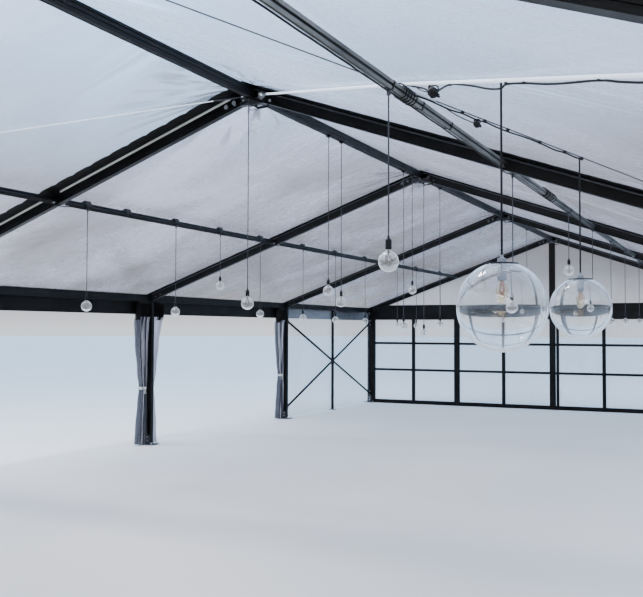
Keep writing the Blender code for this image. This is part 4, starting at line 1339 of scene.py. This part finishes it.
def filament_metal(name, bright, dull):
    """Thin metal of a filament, bright and dull along its length."""
    wire = Finish(name, Roughness=0.4, Metallic=0.6)
    wire.set(Base_Color=wire.blend(wire.cloud(EVEN, 60.0, 2.0), bright, dull))
    return wire.material


filament = filament_metal("filament", tint(0.60, 0.20, 0.08), tint(0.38, 0.05, 0.02))
gold_wire = filament_metal("gold_wire", tint(0.16, 0.09, 0.04), tint(0.05, 0.03, 0.02))
print("cable and filament finishes ready")

# %% [markdown]
# A string is a black feed cable with a lamp on a thin grey drop at each clamp. The feed is tucked
# up under its purlin between the frames and dips under each frame that it passes. Each lamp has a
# clamp, a drop, a ribbed holder, a short stem, four filament wires and its bulb.

# %% One lamp
RUBBER, DROP, CLAMP, GOLD = range(4)
BULB_RADIUS, BULB_NECK, BULB_WALL = 0.06, 0.07, 0.0014
HOLDER_RADIUS, HOLDER_GROOVE, HOLDER_HEIGHT = 0.019, 0.0175, 0.062
CLAMP_RADIUS, CLAMP_LENGTH, DROP_START, DROP_RADIUS = 0.012, 0.035, 0.02, 0.0048
HOLDER = [(0.0, HOLDER_HEIGHT + 0.018), (0.006, HOLDER_HEIGHT + 0.016), (0.008, HOLDER_HEIGHT),
          (0.015, HOLDER_HEIGHT - 0.004), (HOLDER_RADIUS, HOLDER_HEIGHT - 0.014),
          (HOLDER_GROOVE, 0.040), (HOLDER_RADIUS, 0.036), (HOLDER_GROOVE, 0.030),
          (HOLDER_RADIUS, 0.024), (HOLDER_GROOVE, 0.018), (HOLDER_RADIUS, 0.010),
          (HOLDER_RADIUS, 0.0), (0.0, 0.0)]
STEM = [(0.0, 0.0), (0.008, 0.0), (0.005, -0.030), (0.0, -0.034)]
HAIR, HAIR_RADIUS = ((0.0, 0.03), (0.016, 0.045), (0.019, 0.085), (0.0, 0.095)), 0.0030


def bulb_outline(thick=0.0):
    """Outline of a round bulb from its neck to its foot, or of its inside when thick is given."""
    outer = BULB_RADIUS - thick
    angles = [math.radians(degrees) for degrees in range(20, 181, 10)]
    return [(0.017 - thick, BULB_NECK), (0.0175 - thick, BULB_RADIUS * 1.02),
            *((outer * math.sin(a), outer * math.cos(a)) for a in angles)]


def lay_lamp(wiring, glassware, x, y, top, hang):
    """One lamp on its clamp: metal and rubber go in wiring, and the bulb in glassware."""
    bulb = top - hang
    holder = bulb + BULB_NECK
    clamp = [(x, y, top), (x, y, top - CLAMP_LENGTH)]
    lay_in(wiring, tube_part(clamp, CLAMP_RADIUS, 10), slot=CLAMP)
    drop = [(x, y, top - DROP_START), (x, y, holder + HOLDER_HEIGHT)]
    lay_in(wiring, tube_part(drop, DROP_RADIUS, 6), slot=DROP)
    lay_in(wiring, turned_part(HOLDER, 12), Matrix.Translation((x, y, holder)), RUBBER)
    lay_in(wiring, turned_part(STEM, 8), Matrix.Translation((x, y, holder)), GOLD)
    for turn in range(4):
        hair = [Vector((x, y, holder - low)) + outward(turn, 4) * out for out, low in HAIR]
        lay_in(wiring, tube_part(hair, HAIR_RADIUS, 4), slot=GOLD)
    shell = turned_part([*reversed(bulb_outline(BULB_WALL)), *bulb_outline()], 24)
    lay_in(glassware, shell, Matrix.Translation((x, y, bulb)), 0)


print("a lamp has a bulb of", 2 * BULB_RADIUS, "metres across")

# %% [markdown]
# The lamps hang at uneven steps, so their places and drops are a list. The saddles that hold a feed
# are small plates under the ridge purlin and short sleeves round the side purlins. On the right the
# cable is also wound round its purlin here and there.

# %% Where lamps, saddles and wraps are
# Place along the tent and length from the clamp to the bulb's centre
LAMPS = {
    "ridge": [(-6.2, 1.82), (-2.60, 2.02), (-0.77, 1.82), (-0.41, 1.94), (1.73, 2.22), (2.09, 1.69),
              (2.60, 2.32), (3.38, 2.19), (7.4, 2.12), (9.6, 1.87)],
    "left": [(-7.8, 0.79), (-5.8, 1.17), (-3.8, 1.11), (-2.03, 1.13), (-0.28, 1.16), (0.82, 0.76),
             (1.99, 1.15), (3.47, 1.19), (4.80, 1.21), (6.22, 1.22), (8.03, 1.28), (9.27, 1.29),
             (11.06, 1.26)],
    "right": [(-5.22, 1.00), (-2.2, 1.19), (0.59, 0.69), (2.4, 1.09), (4.26, 1.26), (6.08, 1.24),
              (8.40, 1.22), (10.4, 1.19)],
}
# Half length, width, height and lift of the saddles of each string
SADDLES = {"ridge": (0.022, 0.052, 0.020, 0.0), "left": (0.050, 0.066, 0.086, 0.013),
           "right": (0.010, 0.056, 0.056, 0.0)}
EXTRA_SADDLES = {"ridge": (), "left": (-1.30,), "right": (-4.70, -4.11)}
WRAPS = {"right": (-5.08, -5.035, -4.99, -4.945, -4.90, -0.95, -0.90, -0.82, -0.76, -0.66, -0.58,
                   -0.46)}
print("lamps on each string:", {name: len(lamps) for name, lamps in LAMPS.items()})

# %% [markdown]
# A feed is one long tube. Its height depends on how near it is to a frame, and a little noise keeps
# it from being dead straight. A string is two pieces, because only its bulbs are glass.

# %% Lamp strings
WRAP_REACH, WRAP_RADIUS = 0.043, 0.0045
FEED_RADIUS, FEED_TUCK, FEED_STEPS = 0.006, 0.006, 600
FEED_DROP = 0.0063
FRAME_CLEAR, DIP_LENGTH = 0.02, 0.16


def feed_route(x, low, high, tucked, under):
    """The feed: tucked up under the purlin between frames, and down under each frame it passes."""
    route = []
    for k in range(FEED_STEPS + 1):
        y = low + (high - low) * k / FEED_STEPS
        near = min(abs(y - line) for line in FRAME_LINES)
        lift = eased(min(1.0, max(0.0, (near - FRAME_WIDTH / 2 - FRAME_CLEAR) / DIP_LENGTH)))
        slack = 0.004 * noise.noise(Vector((x, y * 3.0, 0.0)))
        sway = 0.004 * noise.noise(Vector((y * 2.0, x, 5.0)))
        route.append((x + sway, y, under + (tucked - under) * lift - abs(slack)))
    return route


def lay_saddle(wiring, name, x, y, top):
    """A plate under the ridge purlin, or a sleeve round a side purlin."""
    half, wide, tall, lift = SADDLES[name]
    if name == "ridge":
        plate = box_part((x - wide / 2, y - half, top - tall), (x + wide / 2, y + half, top))
        lay_in(wiring, plate, slot=RUBBER)
    else:
        centre, height = middle_of(f"side_purlin_{name}")
        up = (math.copysign(math.sin(TILT), x), 0, math.cos(TILT))
        sleeve = profile(wide, tall, 2 * half, ease=0.006)
        bmesh.ops.translate(sleeve, vec=(0, lift, 0), verts=sleeve.verts)
        lay_in(wiring, sleeve, facing((0, 1, 0), up, (centre, y - half, height)), RUBBER)


def lay_wrap(wiring, name, start):
    """One turn of cable round a side purlin."""
    centre, height = middle_of(f"side_purlin_{name}")
    loop = [(centre + WRAP_REACH * math.cos(a),
             start + 0.03 * a / math.tau + 0.006 * math.sin(3 * a + 9 * start),
             height + WRAP_REACH * math.sin(a)) for a in (math.tau * k / 14 for k in range(16))]
    lay_in(wiring, tube_part(loop, WRAP_RADIUS, 6), slot=RUBBER)


def make_lamp_string(name, lamps):
    """One string: feed, saddles and lamps in one piece, and the bulbs in a piece of their own."""
    low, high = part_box(f"lamp_string_{name}")
    x, top = (low.x + high.x) / 2, high.z
    under = rafter_under(BRACKET_REACH if name == "ridge" else SIDE_DISTANCE) - FEED_DROP
    wiring, glassware = bmesh.new(), bmesh.new()
    route = feed_route(x, low.y, high.y, top - FEED_RADIUS - FEED_TUCK, under)
    lay_in(wiring, tube_part(route, FEED_RADIUS, 6), slot=RUBBER)
    for y in (*(y for y, _ in lamps), *EXTRA_SADDLES[name]):
        lay_saddle(wiring, name, x, y, top)
    for start in WRAPS.get(name, ()):
        lay_wrap(wiring, name, start)
    for y, hang in lamps:
        lay_lamp(wiring, glassware, x, y, top, hang)
    finished(f"lamp_string_{name}_wiring", wiring, [rubber, drop_grey, dark_steel, gold_wire],
             [f"lamp_string_{name}"], 45)
    return finished(f"lamp_string_{name}_bulbs", glassware, [bulb_glass], smooth=60)


bulbs = [make_lamp_string(name, lamps) for name, lamps in LAMPS.items()]
print("bulbs:", [len(string.data.polygons) for string in bulbs], "faces")

# %% [markdown]
# Two glass globes hang by black cables from the right-hand bracing lines. Their feed cables are
# clipped along the lines with a little slack, from connectors by the purlin. A few listed points
# and a smooth curve through them look more natural than a formula.

# %% Feeds of the globe lamps
GLOBE_LINES = {1: (3, 2), 2: (2, 3)}
# Points of each feed: share of the way from the purlin to the foot, and drop under the line
FEEDS = {
    1: [(-0.02, 0.012), (0.02, 0.008), (0.06, 0.018), (0.095, 0.030), (0.12, 0.052),
        (0.14, 0.050), (0.16, 0.030), (0.19, 0.010), (0.23, 0.014), (0.27, 0.024),
        (0.303, 0.036), (0.331, 0.040), (0.347, 0.034), (0.36, 0.018), (0.407, 0.016),
        (0.454, 0.022), (0.498, 0.021), (0.567, 0.013), (0.606, 0.022), (0.66, 0.026),
        (0.72, 0.013), (0.79, 0.027), (0.86, 0.013), (0.92, 0.020), (0.955, 0.013)],
    2: [(-0.01, 0.016), (0.03, 0.014), (0.05, 0.012), (0.091, 0.020), (0.117, 0.014),
        (0.147, 0.019), (0.164, 0.012), (0.187, 0.017), (0.213, 0.018), (0.25, 0.012),
        (0.283, 0.012), (0.315, 0.019), (0.339, 0.012), (0.36, 0.016), (0.378, 0.013)],
}
CLIPS = {1: (0.0, 0.19, 0.36, 0.407, 0.567, 0.72, 0.86, 0.955),
         2: (0.0, 0.117, 0.164, 0.213, 0.283, 0.339, 0.378)}
# Each connector's share of the way, drop, radius and height
CONNECTORS = {1: (0.128, 0.052, 0.034, 0.050), 2: (0.147, 0.046, 0.024, 0.036)}
KNOB = ((0.0, -0.6), (0.7, -0.5), (1.0, -0.1), (0.9, 0.3), (0.4, 0.5), (0.0, 0.6))
CONNECTOR_LEAN = math.radians(62)
GLOBE_FEED_RADIUS, LOOP_RADIUS, HANGER_RADIUS = 0.0052, 0.0042, 0.0034
DOWN = Vector((0, 0, -1))


def smooth_line(points, steps=4):
    """More points on a rounded line through the given ones."""
    points = [points[0], *points, points[-1]]
    line = []
    for a, b, c, d in zip(points, points[1:], points[2:], points[3:]):
        for t in (k / steps for k in range(steps)):
            line.append(0.5 * (2 * b + (c - a) * t + (2 * a - 5 * b + 4 * c - d) * t ** 2
                               + (3 * b - a - 3 * c + d) * t ** 3))
    return [*line, points[-1]]


def lay_connector(fitting, over, foot, share, drop, wide, tall):
    """The plug that joins a feed to its supply: a knob, three turns of cable and a hanger."""
    at = over.lerp(foot, share) + DOWN * drop
    knob = turned_part([(wide * radius, tall * height) for radius, height in KNOB], 10)
    lay_in(fitting, knob, Matrix.Translation(at) @ Matrix.Rotation(CONNECTOR_LEAN, 4, "Y"), 0)
    for turn in range(3):
        loop = [at + Vector((wide * 0.9 * math.cos(a + turn),
                             wide * 0.5 * math.sin(a + turn) + 0.008 * turn,
                             tall * 0.7 * math.sin(a) + 0.01))
                for a in (k * math.pi / 5 for k in range(10))]
        lay_in(fitting, tube_part(loop, LOOP_RADIUS, 6), slot=0)
    back = over.lerp(foot, share - 0.075) + DOWN * 0.012
    hanger = [back, back.lerp(at, 0.5) + DOWN * 0.012, at]
    lay_in(fitting, tube_part(smooth_line(hanger), HANGER_RADIUS, 6), slot=0)


def lay_feed(fitting, number, over, foot):
    """The feed cable of a globe with its clips and connector, along the line that carries it."""
    route = [over.lerp(foot, share) + DOWN * drop for share, drop in FEEDS[number]]
    lay_in(fitting, tube_part(smooth_line(route), GLOBE_FEED_RADIUS, 7), slot=0)
    along = (foot - over).normalized()
    for share in CLIPS[number]:
        at = over.lerp(foot, share) + DOWN * 0.007
        clip = profile(0.014, 0.022, 0.018, ease=0.003)
        lay_in(fitting, clip, facing(along, (0, 0, 1), at - along * 0.011), 0)
    lay_connector(fitting, over, foot, *CONNECTORS[number])


print("feed points:", {number: len(points) for number, points in FEEDS.items()})

# %% [markdown]
# Each globe is a thin shell with an open mouth at the top. Three arms on its rim carry a socket,
# and an amber bulb hangs from it inside the globe. Its fittings are measured from the rim.

# %% Globe lamps
CABLE, SOCKET_SKIN, ARM, GLOW = range(4)
GLOBE_MOUTH, GLOBE_WALL, GLOBE_STEPS = 0.075, 0.004, 40
ARM_RADIUS, RIM_RADIUS, GLOW_RADIUS, CABLE_RADIUS = 0.0032, 0.0038, 0.0018, 0.0055
SOCKET_FOOT = -0.076
SOCKET = [(0.0, 0.046), (0.007, 0.044), (0.009, 0.032), (0.020, 0.028), (0.022, 0.010),
          (0.0205, 0.006), (0.0205, -0.004), (0.022, -0.008), (0.022, -0.070), (0.019, SOCKET_FOOT),
          (0.0, SOCKET_FOOT)]
ARM_BEND = ((0.018, 0.0), (0.05, 0.004), (0.0765, 0.0), (0.080, -0.010))
AMBER = [(0.0, -0.110), (0.012, -0.106), (0.022, -0.092), (0.029, -0.062), (0.029, -0.038),
         (0.019, -0.010), (0.014, 0.0)]
AMBER_WALL = 0.0012
GLOW_WIRE = ((0.004, -0.002), (0.010, -0.022), (0.012, -0.050), (0.004, -0.068))


def lay_fitting(fitting, centre, rim):
    """The socket, its three arms on the rim, the rim's ring and the filament of the bulb."""
    socket = [(radius, rim + height) for radius, height in SOCKET]
    lay_in(fitting, turned_part(socket, 24), Matrix.Translation(centre), SOCKET_SKIN)
    base = centre + Vector((0, 0, rim))
    for arm in range(3):
        bend = [base + outward(arm, 3) * out + Vector((0, 0, rise)) for out, rise in ARM_BEND]
        lay_in(fitting, tube_part(bend, ARM_RADIUS, 8), slot=ARM)
    ring = [centre + Vector((GLOBE_MOUTH * math.cos(a), GLOBE_MOUTH * math.sin(a), rim + 0.002))
            for a in (math.tau * k / 36 for k in range(38))]
    lay_in(fitting, tube_part(ring, RIM_RADIUS, 6), slot=CABLE)
    for turn in range(6):
        hair = [centre + outward(turn, 6) * out + Vector((0, 0, rim + SOCKET_FOOT + low))
                for out, low in GLOW_WIRE]
        lay_in(fitting, tube_part(hair, GLOW_RADIUS, 5), slot=GLOW)


def make_globe(number):
    """One globe: glass shell, socket on its arms, amber bulb, drop cable and feed."""
    low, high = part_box(f"globe_lamp_{number}")
    radius = (high.x - low.x) / 2
    centre = Vector(((low.x + high.x) / 2, (low.y + high.y) / 2, low.z + radius))
    mouth = math.asin(GLOBE_MOUTH / radius)
    rim = radius * math.cos(mouth)
    angles = [mouth + (math.pi - mouth) * k / GLOBE_STEPS for k in range(GLOBE_STEPS + 1)]
    inside = radius - GLOBE_WALL
    shell = [(inside * math.sin(a), inside * math.cos(a)) for a in reversed(angles)]
    shell += [(radius * math.sin(a), radius * math.cos(a)) for a in angles]
    glassware = bmesh.new()
    lay_in(glassware, turned_part(shell, 72), Matrix.Translation(centre), 0)
    finished(f"globe_{number}_glass", glassware, [globe_glass],
             [f"globe_lamp_{number}"], 60)
    amber = [(r, rim + SOCKET_FOOT + z) for r, z in AMBER]
    thin = [(r - AMBER_WALL, z) if r else (0.0, z + AMBER_WALL) for r, z in amber]
    bulb = bmesh.new()
    lay_in(bulb, turned_part([*amber, *reversed(thin)], 24), Matrix.Translation(centre), 0)
    finished(f"globe_{number}_bulb", bulb, [amber_glass], smooth=60)
    fitting = bmesh.new()
    lay_fitting(fitting, centre, rim)
    _, over, foot = line_path("right", *GLOBE_LINES[number])
    held = over.lerp(foot, (centre.x - over.x) / (foot.x - over.x))
    cable = between(held - Vector((0, 0, LINE_RADIUS)), centre + Vector((0, 0, rim + 0.03)), 12)
    lay_in(fitting, tube_part(cable, CABLE_RADIUS, 8), slot=CABLE)
    lay_feed(fitting, number, over, foot)
    return finished(f"globe_{number}_fitting", fitting, [rubber, frosted_socket, zinc, filament],
                    smooth=45)


globes = [make_globe(number) for number in GLOBE_LINES]
print(len(globes), "globe lamps:", [len(globe.data.polygons) for globe in globes], "faces")
